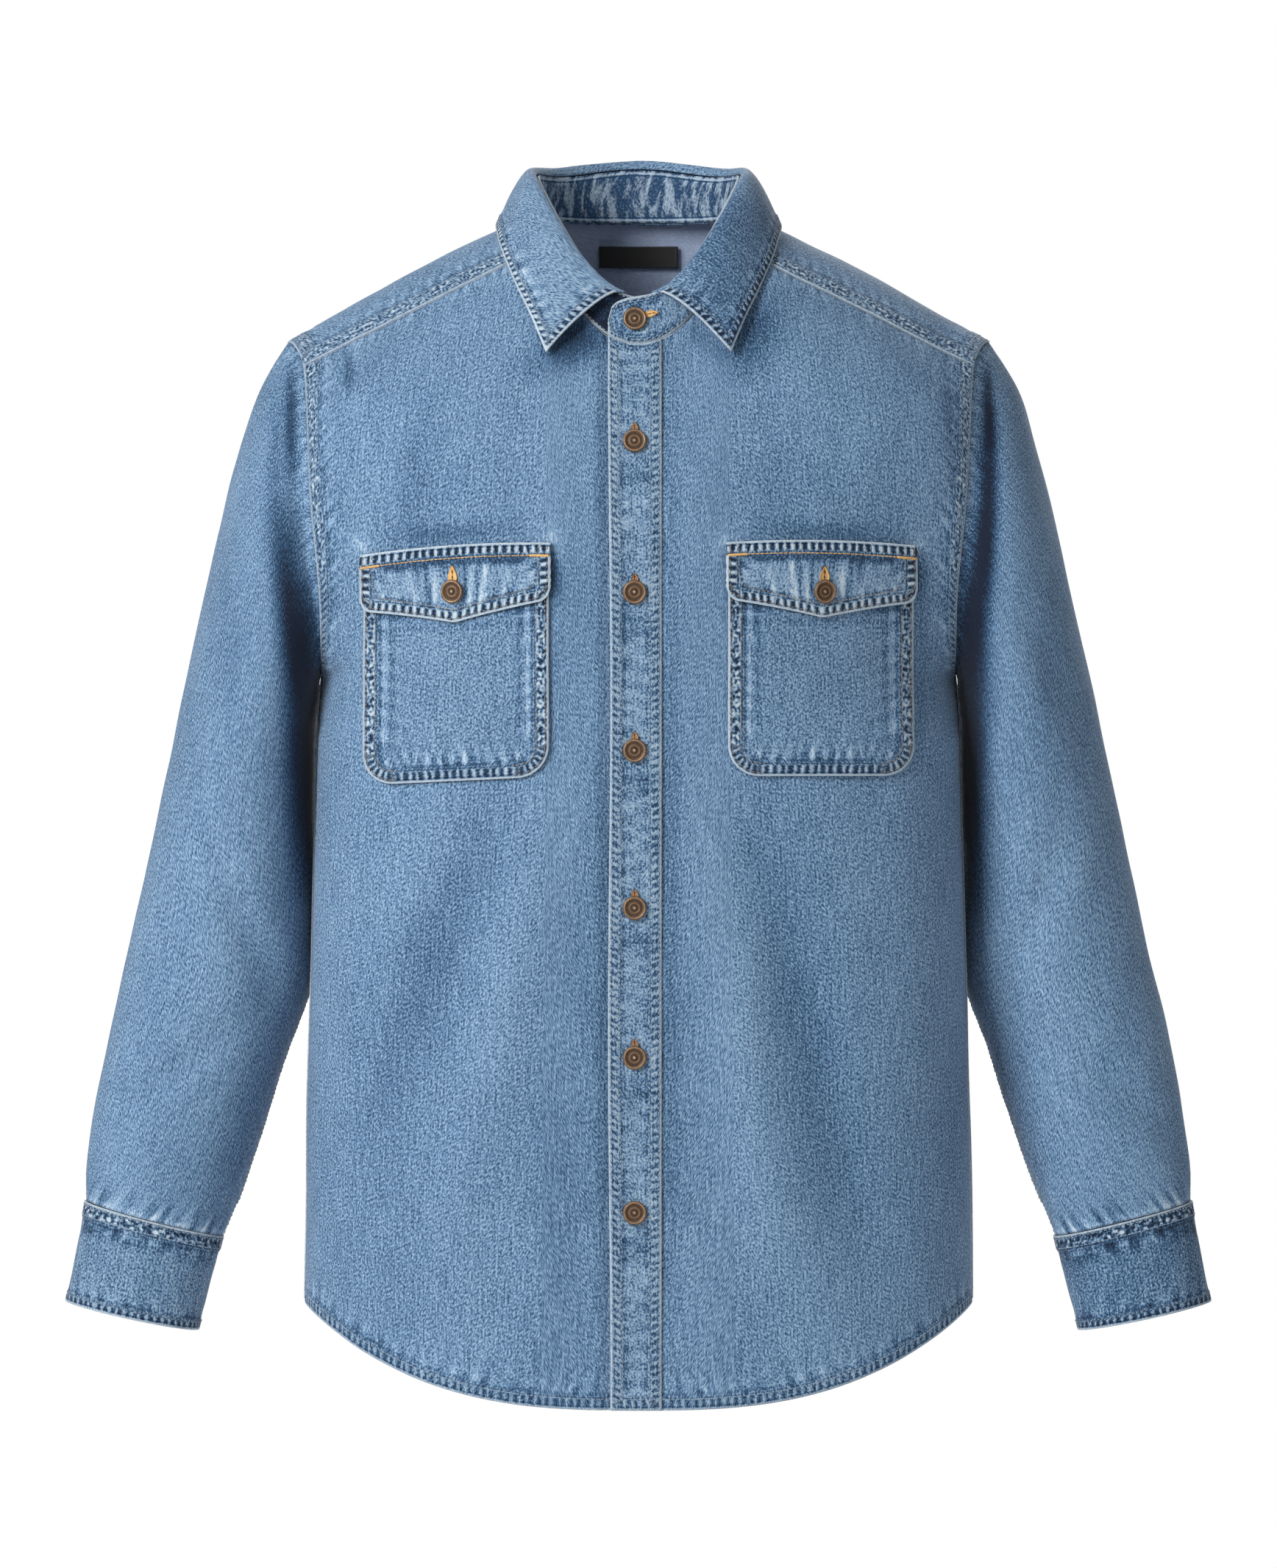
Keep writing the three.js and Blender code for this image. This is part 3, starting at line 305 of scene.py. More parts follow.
def section_depth(middle_y, edge, fraction, z, is_back):
    """Depth of a body section at a fraction of its half width."""
    above = smooth((edge.z - SOFT_EDGE["start"]) / SOFT_EDGE["above"])
    depth = ARMHOLE["half_depth"] * (1 - smooth((SOFT_EDGE["start"] - edge.z) / SOFT_EDGE["below"]))
    soft_y = mix(ARMHOLE["middle_y"] + (depth if is_back else -depth), edge.y, above)
    pull = (edge.y - soft_y) * min(1.0, fraction) ** SOFT_EDGE["power"]
    return mix(middle_y, soft_y, section_turn(fraction, z)) + pull


FRONT_TOP = armhole_point(ARMHOLE["front"])
BACK_TOP = armhole_point(ARMHOLE["back"])
CORNER_FRACTION = neck_loop(NECK, NECK_CORNER).x / FRONT_TOP.x


def front_top(fraction):
    """Top edge of a front: the neck seam, then the yoke seam."""
    if fraction > CORNER_FRACTION:
        return yoke_point(0, (fraction - CORNER_FRACTION) / (1 - CORNER_FRACTION))
    angle = math.asin(fraction * FRONT_TOP.x / NECK["half_width"])
    return neck_loop(NECK, math.degrees(angle))


def hem_z(fraction, drop):
    return HEM_SIDE_Z - drop * (1 - min(1.0, fraction) ** HEM_POWER)


def front_point(signed, down):
    """Point of a front: signed is a fraction of its half width, and down runs from its top to its hem."""
    fraction = min(1.0, abs(signed))
    top = front_top(fraction)
    edge = side_edge(mix(FRONT_TOP.z, HEM_SIDE_Z, down), False)
    z = mix(top.z, hem_z(fraction, FRONT_DROP), down)
    top_error = 0.0
    if down < TOP_BLEND:
        top_middle = read_table(FRONT_PROFILE, top.z)
        top_error = top.y - section_depth(top_middle, side_edge(FRONT_TOP.z, False), fraction, top.z, False)
    y = section_depth(read_table(FRONT_PROFILE, z), edge, fraction, z, False)
    y += top_error * clamp01(1 - down / TOP_BLEND) ** 2
    x = signed * edge.x
    return Vector((x, y - fold_shift(FRONT_FOLDS, x, z) * (1 - fraction**FOLD_FADE_POWER), z))


BACK_PROFILE = ((-86, 98), (-160, 105), (-250, 103), (-350, 100), (-500, 101), (-600, 104), (-778, 108))
BACK_DROP = 73
BACK_FOLDS = (
    (-70, -150, -98, -520, 22, -5),
    (88, -130, 70, -470, 20, -4.5),
    (-20, -330, 22, -720, 24, 4),
    (130, -420, 160, -700, 22, -4),
)


def back_point(signed, down):
    fraction = min(1.0, abs(signed))
    edge = side_edge(mix(BACK_TOP.z, HEM_SIDE_Z, down), True)
    z = mix(BACK_TOP.z, hem_z(fraction, BACK_DROP), down)
    x = signed * edge.x
    y = section_depth(read_table(BACK_PROFILE, z), edge, fraction, z, True)
    return Vector((x, y + fold_shift(BACK_FOLDS, x, z) * (1 - fraction**FOLD_FADE_POWER), z))


# The yoke's form is drawn on lines from the neck seam: the number of each, and how far it bulges back and up
YOKE_LIFTS = (
    (0, -28, 2), (1, -14, 16), (2, 0, 22), (3, 16, 26), (4, 32, 26),
    (5, 34, 28), (6, 30, 26), (7, 26, 24), (8, 24, 22),
)
RAY_STEP = 14
ARMHOLE_STEP = 17
BACK_RAY = 4
LAST_RAY = 8


def yoke_point(ray, reach):
    """Point of the yoke on a line from the neck seam (0) to the armhole or the back seam (1)."""
    start_point = neck_loop(NECK, NECK_CORNER + RAY_STEP * ray)
    if ray <= BACK_RAY:
        end = armhole_point(ARMHOLE["front"] + ARMHOLE_STEP * ray)
    else:
        end = back_point(1 - (ray - BACK_RAY) / (LAST_RAY - BACK_RAY), 0)
    rounding = math.sqrt(reach) * (1 - reach)
    lift = Vector((0, read_table(YOKE_LIFTS, ray, 1), read_table(YOKE_LIFTS, ray, 2)))
    return start_point.lerp(end, reach) + lift * rounding


class Cloth:
    """A cut piece of cloth: its points row by row, where they lie on the cut, and its object."""

    def __init__(self, name, acrosses, downs, place, facing, seam_at, closed=False, folds_at=None):
        self.name = name
        self.columns, self.rows = len(acrosses) - 1, len(downs) - 1
        self.seam_at = seam_at
        self.points = [[place(across, down) for across in acrosses] for down in downs]
        self.measure()
        self.shape_mesh(facing, closed, folds_at)

    def measure(self):
        """Lengths on the cut: along each row from its first edge, and down each column from the top."""
        self.across = [[0.0] for _ in self.points]
        self.down = [[0.0] * (self.columns + 1)]
        for j, row in enumerate(self.points):
            for i in range(1, self.columns + 1):
                self.across[j].append(self.across[j][-1] + (row[i] - row[i - 1]).length)
            if j:
                spans = [(below - above).length for above, below in zip(self.points[j - 1], row)]
                self.down.append([length + span for length, span in zip(self.down[-1], spans)])

    def edges(self, i, j):
        """Distances to the first, last, top and bottom edge, in millimetres."""
        last = self.across[j][-1] - self.across[j][i]
        return self.across[j][i], last, self.down[j][i], self.down[-1][i] - self.down[j][i]

    def shape_mesh(self, facing, closed, folds_at):
        """A grid moved onto the points, then raised by its seams and folds, with both kept as attributes."""
        bm = bmesh.new()
        bmesh.ops.create_grid(bm, x_segments=self.columns, y_segments=self.rows, size=1)
        column = bm.verts.layers.int.new("column")
        row = bm.verts.layers.int.new("row")
        seam = bm.verts.layers.float_vector.new("seam")
        tone = bm.verts.layers.float.new("tone")
        cut = bm.loops.layers.uv.new("cut")
        for vert in bm.verts:
            i = round((vert.co.x + 1) / 2 * self.columns)
            j = round((1 - vert.co.y) / 2 * self.rows)
            vert[column], vert[row] = i, j
            vert.co = self.points[j][i]
            for loop in vert.link_loops:
                loop[cut].uv = (self.across[j][i] / 1000, -self.down[j][i] / 1000)
        if closed:
            bmesh.ops.remove_doubles(bm, verts=bm.verts, dist=0.02)
        if facing < 0:
            bmesh.ops.reverse_faces(bm, faces=bm.faces)
        bm.normal_update()
        self.normals = [[None] * (self.columns + 1) for _ in range(self.rows + 1)]
        normals = {vert: vert.normal.copy() for vert in bm.verts}
        for vert in bm.verts:
            i, j = vert[column], vert[row]
            near, along, width, lift, shade = self.seam_at(self, i, j, vert.co)
            rise, soft = seam_relief(near, along, width)
            extra, mark = folds_at(i, j, vert.co) if folds_at else (0.0, 0.0)
            vert.co = vert.co + normals[vert] * (rise + lift + extra)
            vert[seam] = (near, along, width)
            vert[tone] = shade + mark + soft
            self.points[j][i] = vert.co.copy()
            self.normals[j][i] = normals[vert]
        if closed:
            for j in range(self.rows + 1):
                merged = 0 if self.normals[j][0] is not None else self.columns
                other = self.columns - merged
                self.points[j][other] = self.points[j][merged]
                self.normals[j][other] = self.normals[j][merged]
        for face in bm.faces:
            face.smooth = True
        bmesh.ops.scale(bm, vec=(0.001, 0.001, 0.001), verts=bm.verts)
        self.piece = new_object(self.name, bm)

    def dress(self, node, outside, inside, wall, flat, area, held, rests_on, slot="denim"):
        """Gives the cloth its thickness, its face and its back, ties it to the root and hides the CAD part it
        stands in for.
        """
        self.piece.data.materials.append(outside)
        self.piece.data.materials.append(inside)
        solid = self.piece.modifiers.new("wall", "SOLIDIFY")
        solid.thickness = wall / 1000
        solid.offset = -1
        solid.material_offset = 1
        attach(self.piece, "root")
        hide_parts(node)

    def line(self, edge, away, start=0.0, end=1.0):
        """Points and normals of a line at a distance from one edge, between two fractions of its length."""
        found = []
        if edge in ("top", "bottom"):
            for i in range(self.columns + 1):
                lengths = [self.edges(i, j)[2 if edge == "top" else 3] for j in range(self.rows + 1)]
                if start <= i / self.columns <= end:
                    found.append(self.between(lengths, away, lambda j, i=i: (i, j)))
        else:
            for j in range(self.rows + 1):
                lengths = [self.edges(i, j)[0 if edge == "first" else 1] for i in range(self.columns + 1)]
                if start <= j / self.rows <= end:
                    found.append(self.between(lengths, away, lambda i, j=j: (i, j)))
        return [pair for pair in found if pair]

    def between(self, lengths, away, at):
        """Point and normal where a row or column of lengths passes a distance, if it does."""
        for k in range(len(lengths) - 1):
            low, high = lengths[k], lengths[k + 1]
            if (low - away) * (high - away) <= 0 and low != high:
                t = (away - low) / (high - low)
                i1, j1 = at(k)
                i2, j2 = at(k + 1)
                point = self.points[j1][i1].lerp(self.points[j2][i2], t)
                return point, self.normals[j1][i1].lerp(self.normals[j2][i2], t).normalized()
        return None


def waver(x, y, z):
    """Smooth noise at a place, from about -1 to 1."""
    return noise.noise(Vector((x, y, z)))


def hump(away, width):
    """1 on a line, and soon less beside it."""
    return math.exp(-((away / width) ** 2))


def crinkle(along, period):
    """Uneven ridges and grooves, one after another along a seam."""
    wander = 4 * waver(along / (period * 3.1), 7.3, 1.1)
    height = 0.65 + 0.5 * waver(along / 23, 3.7, 0)
    return math.sin(2 * math.pi * along / period + wander) * height


SEAM_REACH = 60
BAND_RISE = 0.75
BAND_CREASE = {"period": 6.4, "slant": 0.5, "rise": 0.22}
PUCKER = {"period": 11.5, "slant": 0.35, "reach": 13, "rise": 0.42, "rise_by_band": 0.34, "tint": 0.5}


def seam_relief(near, along, width):
    """Rise and tint of the cloth beside a seam: a lapped band stands proud, and puckers run out of it."""
    if near > SEAM_REACH:
        return 0.0, 0.0
    beyond = max(0.0, near - width)
    pucker = crinkle(along + near * PUCKER["slant"], PUCKER["period"])
    pucker *= math.exp(-beyond / PUCKER["reach"]) * smooth(near / 2)
    if width == 0:
        return PUCKER["rise"] * pucker, PUCKER["tint"] * pucker
    band = 1 - smooth((near - width + 0.8) / 1.6)
    crease = crinkle(along + near * BAND_CREASE["slant"], BAND_CREASE["period"])
    crease *= smooth(near / 1.5) * smooth((width - near) / 1.5)
    pucker *= 1 - band
    rise = BAND_RISE * band + BAND_CREASE["rise"] * crease + PUCKER["rise_by_band"] * pucker
    return rise, PUCKER["tint"] * pucker


def spaced(length, cell, fine_start=0.0, fine_end=0.0, fine_cell=1.5):
    """Places from 0 to 1 along a length, closer together within a distance of either end."""
    at, places = 0.0, [0.0]
    while at < length - fine_cell * 0.6:
        left = length - at
        fine = at < fine_start or left < fine_end
        at += fine_cell if fine else min(cell, max(fine_cell, left - fine_end))
        places.append(min(at, length))
    places[-1] = length
    return [place / length for place in places]


# Washed denim: indigo warp over a white weft, bleached on every ridge and edge and still dark in the grooves,
# where painted shade and shadow darken it further.
# The attribute seam gives the distance from the nearest seam or edge, the place along it and the width of
# its lapped band, in millimetres. The attribute tone lightens or darkens the cloth, with painted light and
# shade from folds and nearby parts as well as the cloth's own fades and worn patches.
# Painted shadow: the near black that the darkest painted shade reaches in deep folds and crevices
PAINTED_SHADOW = (0.001, 0.006, 0.021, 1)
DEEP_INDIGO = (0.020, 0.060, 0.125, 1)
MID_INDIGO = (0.106, 0.199, 0.330, 1)
PALE_INDIGO = (0.270, 0.395, 0.540, 1)
BLEACHED = (0.50, 0.57, 0.62, 1)
GREYED = (0.26, 0.335, 0.40, 1)
REVERSE_DEEP = (0.10, 0.125, 0.20, 1)
REVERSE_PALE = (0.26, 0.30, 0.40, 1)
BEAD_PITCH = 5.2


def denim(name, grey=0.0, lightness=0.0, wear_and_shade=1.0, reach=16.0, strokes_from=None):
    """The outer face of the cloth. grey takes it from the blue of the panels to that of folded bands.
    One factor scales the worn marks and the painted shade along the seams together.
    Worn strokes run out of a seam as far as reach, and where strokes_from is given only past it."""
    material, start = new_material(name)
    cut = start.node("ShaderNodeUVMap", {"uv_map": "cut"})

    def on_cut(x_cell, y_cell, turn=0.0):
        turned = (0, 0, math.radians(turn))
        inputs = {"Vector": cut, "Scale": (1000 / x_cell, 1000 / y_cell, 1), "Rotation": turned}
        return start.node("ShaderNodeMapping", {}, inputs)

    def grain(x_cell, y_cell, detail=2.0, turn=0.0):
        return start.cloud(on_cut(x_cell, y_cell, turn), 1.0, detail, "2D", Roughness=0.6)

    seam = start.node("ShaderNodeAttribute", {"attribute_name": "seam"}, output=1)
    parts = start.node("ShaderNodeSeparateXYZ", {}, {0: seam})
    near, along, width = (Field(start.tree, parts.socket.node.outputs[k]) for k in range(3))
    tone = start.node("ShaderNodeAttribute", {"attribute_name": "tone"}, output=2)

    # Weave: yarn cells, columns of uneven warp, fine twill and a slow fade
    cells = grain(1.35, 1.7, 2.0)
    columns = grain(1.5, 26.0, 1.0)
    twill = grain(0.6, 4.0, 1.0, 24.0)
    fade = grain(95.0, 120.0, 2.0)
    weave = (cells - 0.5) * 4.2 + (columns - 0.5) * 1.0 + (twill - 0.5) * 0.6 + (fade - 0.5) * 0.4

    # Sewing: a bleached edge, beads or, on a wide band, specks between the two stitch rows,
    # painted shade along the stitch rows, a painted shadow of the band's edge in the groove outside the band
    # and strokes beyond it
    beyond = near - width
    stroke_line = along / 4.6 + near / 16.0
    seam_line = start.node("ShaderNodeCombineXYZ", {}, {0: stroke_line, 1: near / 19.0, 2: width})
    wander = start.cloud(seam_line, 0.55, 1.0)
    beads = (along * (2 * math.pi / BEAD_PITCH) + near * 0.1 + wander * 5.0).sine()
    strokes = start.cloud(seam_line, 1.0)
    speck_line = start.node("ShaderNodeCombineXYZ", {}, {0: along / 2.4, 1: near / 2.2, 2: width})
    specks = start.cloud(speck_line, 1.0, 0.0)
    on_wide_band = width.ease(9.2, 9.7)
    beaded = beads * 0.9 * wear_and_shade - 0.35 + (strokes - 0.5) * 1.2
    specked = (specks - 0.5) * 5.5 - 0.15
    pattern = beaded * (1 - on_wide_band) + specked * on_wide_band
    has_band = width.ease(0.5, 2.0)
    on_band = (1 - beyond.ease(-0.6, 0.5)) * has_band
    middle = near.ease(1.0, 2.4) * (1 - beyond.ease(-3.0, -1.2)) * has_band
    rows = near.within(1.5, 2.0, 2.5, 3.1) + beyond.within(-1.8, -1.2, -0.6, 0.0)
    edge_line = 1 - near.ease(0.5, 1.7)
    groove = beyond.within(-0.4, 0.6, 1.2, 3.4)
    stroke_zone = beyond.within(-1.0, 1.0, reach * 0.15, reach)
    if strokes_from is not None:
        stroke_zone = stroke_zone * along.ease(strokes_from - 10, strokes_from + 10)

    sewn = tone + (strokes - 0.45) * stroke_zone * 2.7 * wear_and_shade
    sewn = sewn + middle * pattern * wear_and_shade
    # Painted shadow in the groove beside the band and painted shade on the stitch rows
    sewn = sewn - groove * 0.5 * wear_and_shade - rows * has_band * 0.6 * wear_and_shade
    value = weave + sewn + (0.5 + lightness)

    # Tints, from painted shadow in the deepest folds to the bleached ridges
    base = value.ease(-1.7, -0.25).mixed(PAINTED_SHADOW, DEEP_INDIGO)
    base = value.ease(-0.45, 0.60).mixed(base, MID_INDIGO)
    base = value.ease(0.40, 1.45).mixed(base, PALE_INDIGO)
    greyed = on_band * 0.55 * wear_and_shade + grey
    base = (greyed * value.ease(-0.1, 1.1)).mixed(base, GREYED)
    bleach = edge_line * 0.55 * wear_and_shade * (0.5 + strokes) + (value - weave * 0.6).ease(0.95, 1.7) * 0.75
    base = bleach.math("MINIMUM", bleach, 0.9).mixed(base, BLEACHED)

    height = cells * 0.5 + twill * 0.35 + middle * beads * 0.9 + stroke_zone * strokes * 0.5
    bump = start.node("ShaderNodeBump", {}, {"Strength": 0.55, "Distance": 0.0006, "Height": height})
    roughness = 0.82 + (cells - 0.5) * 0.2
    constants = {"Specular IOR Level": 0.25, "Sheen Weight": 0.12, "Sheen Roughness": 0.5}
    finish_material(start, constants, {"Base Color": base, "Roughness": roughness, "Normal": bump})
    return material


def denim_reverse(name, low, high, crinkled=0.0):
    """The back of the cloth, where the weft shows: pale and flat, or crinkled and worn along thin ridges."""
    material, start = new_material(name)
    cut = start.node("ShaderNodeUVMap", {"uv_map": "cut"})
    scaled = start.node("ShaderNodeMapping", {}, {"Vector": cut, "Scale": (700, 520, 1)})
    cells = start.cloud(scaled, 1.0, 3.0, "2D")
    value = (cells - 0.5) * 1.4 + 0.45
    height = cells
    if crinkled:
        inputs = {"Vector": cut, "Scale": (150, 50, 1), "Rotation": (0, 0, 0.2)}
        stretched = start.node("ShaderNodeMapping", {}, inputs)
        ridges = start.cloud(stretched, 1.0, 1.5, "2D", Distortion=0.4).ease(0.38, 0.68)
        seam = start.node("ShaderNodeAttribute", {"attribute_name": "seam"}, output=1)
        near = start.node("ShaderNodeSeparateXYZ", {}, {0: seam})
        stitched = near.within(0.8, 1.4, 2.4, 3.0) - near.within(2.8, 3.2, 3.9, 4.4) * 0.7
        value = value - 0.38 + ridges * crinkled + stitched * 0.55
        height = cells + ridges
    bump = start.node("ShaderNodeBump", {}, {"Strength": 0.4, "Distance": 0.0005, "Height": height})
    fields = {"Base Color": value.ease(0.0, 1.0).mixed(low, high), "Normal": bump}
    finish_material(start, {"Roughness": 0.9, "Specular IOR Level": 0.2}, fields)
    return material


denim_panel = denim("denim_panel", wear_and_shade=0.85)
denim_inside = denim_reverse("denim_inside", REVERSE_DEEP, REVERSE_PALE)

# Sewing thread lies in short stitches, each a small lozenge sunk into the cloth.
# It is blue on the panels and bands, tan on pockets and flaps, gold in the flaps' top rows,
# and brown round the buttonholes of the front.
STITCH_PITCH = 3.1
STITCH_LENGTH = 2.3
STITCH_WIDTH = 0.62
THREADS = {
    "blue": ((0.16, 0.22, 0.30, 1), (0.32, 0.40, 0.48, 1)),
    "tan": ((0.16, 0.11, 0.07, 1), (0.36, 0.26, 0.16, 1)),
    "brown": ((0.20, 0.09, 0.03, 1), (0.42, 0.21, 0.09, 1)),
    "gold": ((0.42, 0.22, 0.06, 1), (0.72, 0.42, 0.14, 1)),
}


def thread(name):
    """Twisted cotton: the tint runs in fine turns along each stitch."""
    material, start = new_material(f"thread_{name}")
    place = start.node("ShaderNodeTexCoord", output=3)
    twist = start.cloud(place, 900.0)
    fade = start.cloud(place, 60.0)
    bump = start.node("ShaderNodeBump", {}, {"Strength": 0.4, "Distance": 0.0002, "Height": twist})
    tint = (twist * 0.6 + fade * 0.8).ease(0.4, 1.0).mixed(*THREADS[name])
    finish_material(start, {"Roughness": 0.7, "Sheen Weight": 0.2}, {"Base Color": tint, "Normal": bump})
    return material


thread_materials = {name: thread(name) for name in THREADS}

stitch_shape = bmesh.new()
lengthwise = Matrix.Rotation(math.pi / 2, 4, "Y")
bmesh.ops.create_uvsphere(stitch_shape, u_segments=5, v_segments=4, radius=1, matrix=lengthwise)
STITCH_POINTS = [vert.co.copy() for vert in stitch_shape.verts]
STITCH_FACES = [[vert.index for vert in face.verts] for face in stitch_shape.faces]
stitch_shape.free()


class Sewing:
    """All the stitches of one group of seams, in one object."""

    def __init__(self, name, color):
        self.name, self.color = name, color
        self.points, self.faces = [], []

    def row(self, path, rise=0.12, pitch=STITCH_PITCH, length=STITCH_LENGTH, width=STITCH_WIDTH):
        """Stitches one after another along a path of points and normals."""
        walked, due = 0.0, pitch / 2
        for (point, normal), (following, next_normal) in zip(path, path[1:]):
            span = (following - point).length
            while span > 0 and due <= walked + span:
                t = (due - walked) / span
                out = normal.lerp(next_normal, t)
                self.stitch(point.lerp(following, t), following - point, out, rise, length, width)
                due += pitch
            walked += span

    def stitch(self, place, heading, normal, rise, length, width):
        heading = heading.normalized()
        out = (normal - heading * normal.dot(heading)).normalized()
        turn = Matrix((heading, heading.cross(out), out)).transposed().to_4x4()
        size = Matrix.Diagonal((length / 2, width / 2, width * 0.42, 1))
        matrix = Matrix.Scale(0.001, 4) @ Matrix.Translation(place + out * rise) @ turn @ size
        first = len(self.points)
        self.points += [matrix @ point for point in STITCH_POINTS]
        self.faces += [[first + k for k in reversed(face)] for face in STITCH_FACES]

    def finish(self):
        mesh = bpy.data.meshes.new(self.name)
        mesh.from_pydata(self.points, [], self.faces)
        mesh.shade_smooth()
        piece = bpy.data.objects.new(self.name, mesh)
        piece.data.materials.append(thread_materials[self.color])
        bpy.context.scene.collection.objects.link(piece)
        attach(piece, "root")


LAP = {"drop": 2.4, "start": -26.5, "full": -20.5}
FRONT_START = {1: -16, -1: 15}
FAR = 99.0


def armhole_band(z):
    """The lapped band is widest over the shoulder and narrows towards the underarm."""
    return mix(8, 13, smooth((z + 270) / 130))


def front_seams(side):
    def seam_at(cloth, i, j, place):
        first, last, top, bottom = cloth.edges(i, j)
        along_side = cloth.down[j][i]
        lift = 0.0
        if side < 0:
            lift = -LAP["drop"] * smooth((place.x - LAP["start"]) / (LAP["full"] - LAP["start"]))
        shade = fold_shift(FRONT_PAINTED_LIGHT_AND_SHADE, place.x, place.z)
        if bottom < HEM_WIDTH + 3 and bottom < last:
            return bottom, cloth.across[j][i], HEM_WIDTH, lift, shade
        if place.z > UNDERARM_Z and last < top + 8 and last < 40:
            return last, along_side, armhole_band(place.z), lift, shade
        if top < 34 and top < last:
            return top, cloth.across[j][i] + 300, 0.0, lift, shade
        if last < 30:
            return last + 1.2, along_side, 0.0, lift, shade
        return (bottom if bottom < 40 else FAR), cloth.across[j][i], HEM_WIDTH, lift, shade

    return seam_at


# Painted light and shade on the fronts: painted shadows under the collar leaves, beside the placket,
# above and beside the pocket flaps and down the pocket sides, painted shade and light along the body
# folds, on the upper chest and by the armholes, darker over the lower fronts, and pale spots at the
# flaps' top corners. Each: two points of a line, its width, and how much lighter the cloth is there
FRONT_PAINTED_LIGHT_AND_SHADE = (
    (-32, -190, -32, -760, 12, -0.14),
    (21, -80, 21, -760, 6, -0.34),
    (-165, -199, -75, -195, 6, -0.50),
    (75, -195, 165, -197, 6, -0.50),
    (-183, -206, -180, -203, 7, 0.9),
    (-58, -199, -56, -204, 6, 0.9),
    (56, -202, 57, -206, 7, 0.9),
    (181, -202, 182, -206, 6, 0.8),
    (-56, -211, -55, -240, 5, -1.1),
    (182, -211, 182, -240, 5, -1.1),
    (187, -215, 184, -350, 8, -0.28),
    (-52, -215, -54, -345, 8, -0.22),
    (66, -88, 30, -62, 8, -0.35),
    (66, -88, 86, -44, 14, -0.95),
    (-62, -84, -20, -58, 14, -1.7),
    (-110, -420, -110, -740, 95, -0.13),
    (110, -450, 110, -740, 95, -0.07),
    (-24, -80, -24, -240, 5, -0.34),
    (-23, -240, -23, -760, 5, -0.22),
    (-94, -377, -176, -592, 20, -0.30),
    (-61, -377, -128, -663, 20, 0.22),
    (-56, -540, -48, -720, 14, -0.24),
    (73, -377, 149, -663, 20, -0.30),
    (53, -400, 92, -690, 18, 0.22),
    (-197, -120, -202, -330, 9, -0.16),
    (-42, -110, -40, -300, 9, -0.10),
    (158, -110, 163, -200, 12, -0.16),
    (187, -120, 190, -300, 8, 0.14),
    (204, -78, 203, -150, 4, -0.5),
    (-192, -75, -190, -104, 4, -0.7),
    (-140, -110, -152, -200, 12, -0.26),
)


def front_ripples(i, j, place):
    """Small soft waves of the worn cloth, finer than its main folds."""
    wave = waver(place.x / 46, place.z / 115, 2.3) + 0.45 * waver(place.x / 21, place.z / 60, 5.1)
    return 0.9 * wave, 0.10 * wave


for side, label in SIDES:
    start_x = FRONT_START[side]

    def place_front(across, down, side=side, start_x=start_x):
        half = side_edge(mix(FRONT_TOP.z, HEM_SIDE_Z, down), False).x
        return front_point(mix(start_x / half, side, across), down)

    columns = spaced(235, 3.1, 0, 15, 1.9)
    rows = spaced(680, 3.1, 5, 12, 1.7)
    front = Cloth(
        f"front_{label}_cloth", columns, rows, place_front, side, front_seams(side), folds_at=front_ripples,
    )
    front.dress(
        f"front_{label}", denim_panel, denim_inside, WALL, (0.285, 0.76), 0.198, "stretched", ["yoke"],
    )
    sewing = Sewing(f"front_{label}_stitches", "blue")
    for away in (2.2, 7.4):
        sewing.row([pair for pair in front.line("last", away) if pair[0].z > UNDERARM_Z + 6])
    sewing.row(front.line("bottom", 7.2))
    sewing.finish()

# Yoke: one piece from the front seams over the shoulders to a straight seam across the back.
# It is lapped over the fronts and the back and stitched twice along each lap.
# The neck label is sewn inside it.
YOKE_BAND = 14


def place_yoke(across, reach):
    ray = across * 2 * LAST_RAY
    if ray <= LAST_RAY:
        return yoke_point(ray, reach)
    point = yoke_point(2 * LAST_RAY - ray, reach)
    return Vector((-point.x, point.y, point.z))


def yoke_seams(cloth, i, j, place):
    first, last, top, bottom = cloth.edges(i, j)
    front = min(first, last)
    ray = i / cloth.columns * 2 * LAST_RAY
    ray = min(ray, 2 * LAST_RAY - ray)
    shade = -0.10 * smooth((6 - top) / 6)
    if front < YOKE_BAND + 4 and front < bottom + 6:
        return front, cloth.down[j][i], YOKE_BAND, 0.0, shade
    if bottom < 40 and bottom < top:
        width = armhole_band(place.z) if ray < BACK_RAY else 11
        return bottom, cloth.across[j][i], width, 0.0, shade
    if front < 40:
        return front, cloth.down[j][i], YOKE_BAND, 0.0, shade
    return top + 2, cloth.across[j][i], 0.0, 0.0, shade


# The inside of the yoke is a pale lavender grey, lightened further as painted light for the inside of the
# neck, which the lamps barely reach.
denim_yoke_inside = denim_reverse("denim_yoke_inside", (0.34, 0.43, 0.62, 1), (0.56, 0.66, 0.86, 1))
yoke = Cloth(
    "yoke_cloth", steps(0, 1, 190), spaced(150, 3.0, 6, 15, 1.7), place_yoke, 1, yoke_seams,
    folds_at=front_ripples,
)
yoke.dress(
    "yoke", denim_panel, denim_yoke_inside, WALL, (0.50, 0.20), 0.078, "stretched",
    ["front_left_cloth", "front_right_cloth"],
)
yoke_sewing = Sewing("yoke_stitches", "blue")
for away in (2.4, 10.5):
    yoke_sewing.row(yoke.line("first", away))
    yoke_sewing.row(yoke.line("last", away))
for away in (2.2, 7.6):
    yoke_sewing.row(yoke.line("bottom", away, 0.02, 0.98))
yoke_sewing.finish()

# Back: one wide panel below the yoke, felled to the fronts at the side seams.
# Its hem is turned up in a long curved tail, a little deeper than the fronts'.


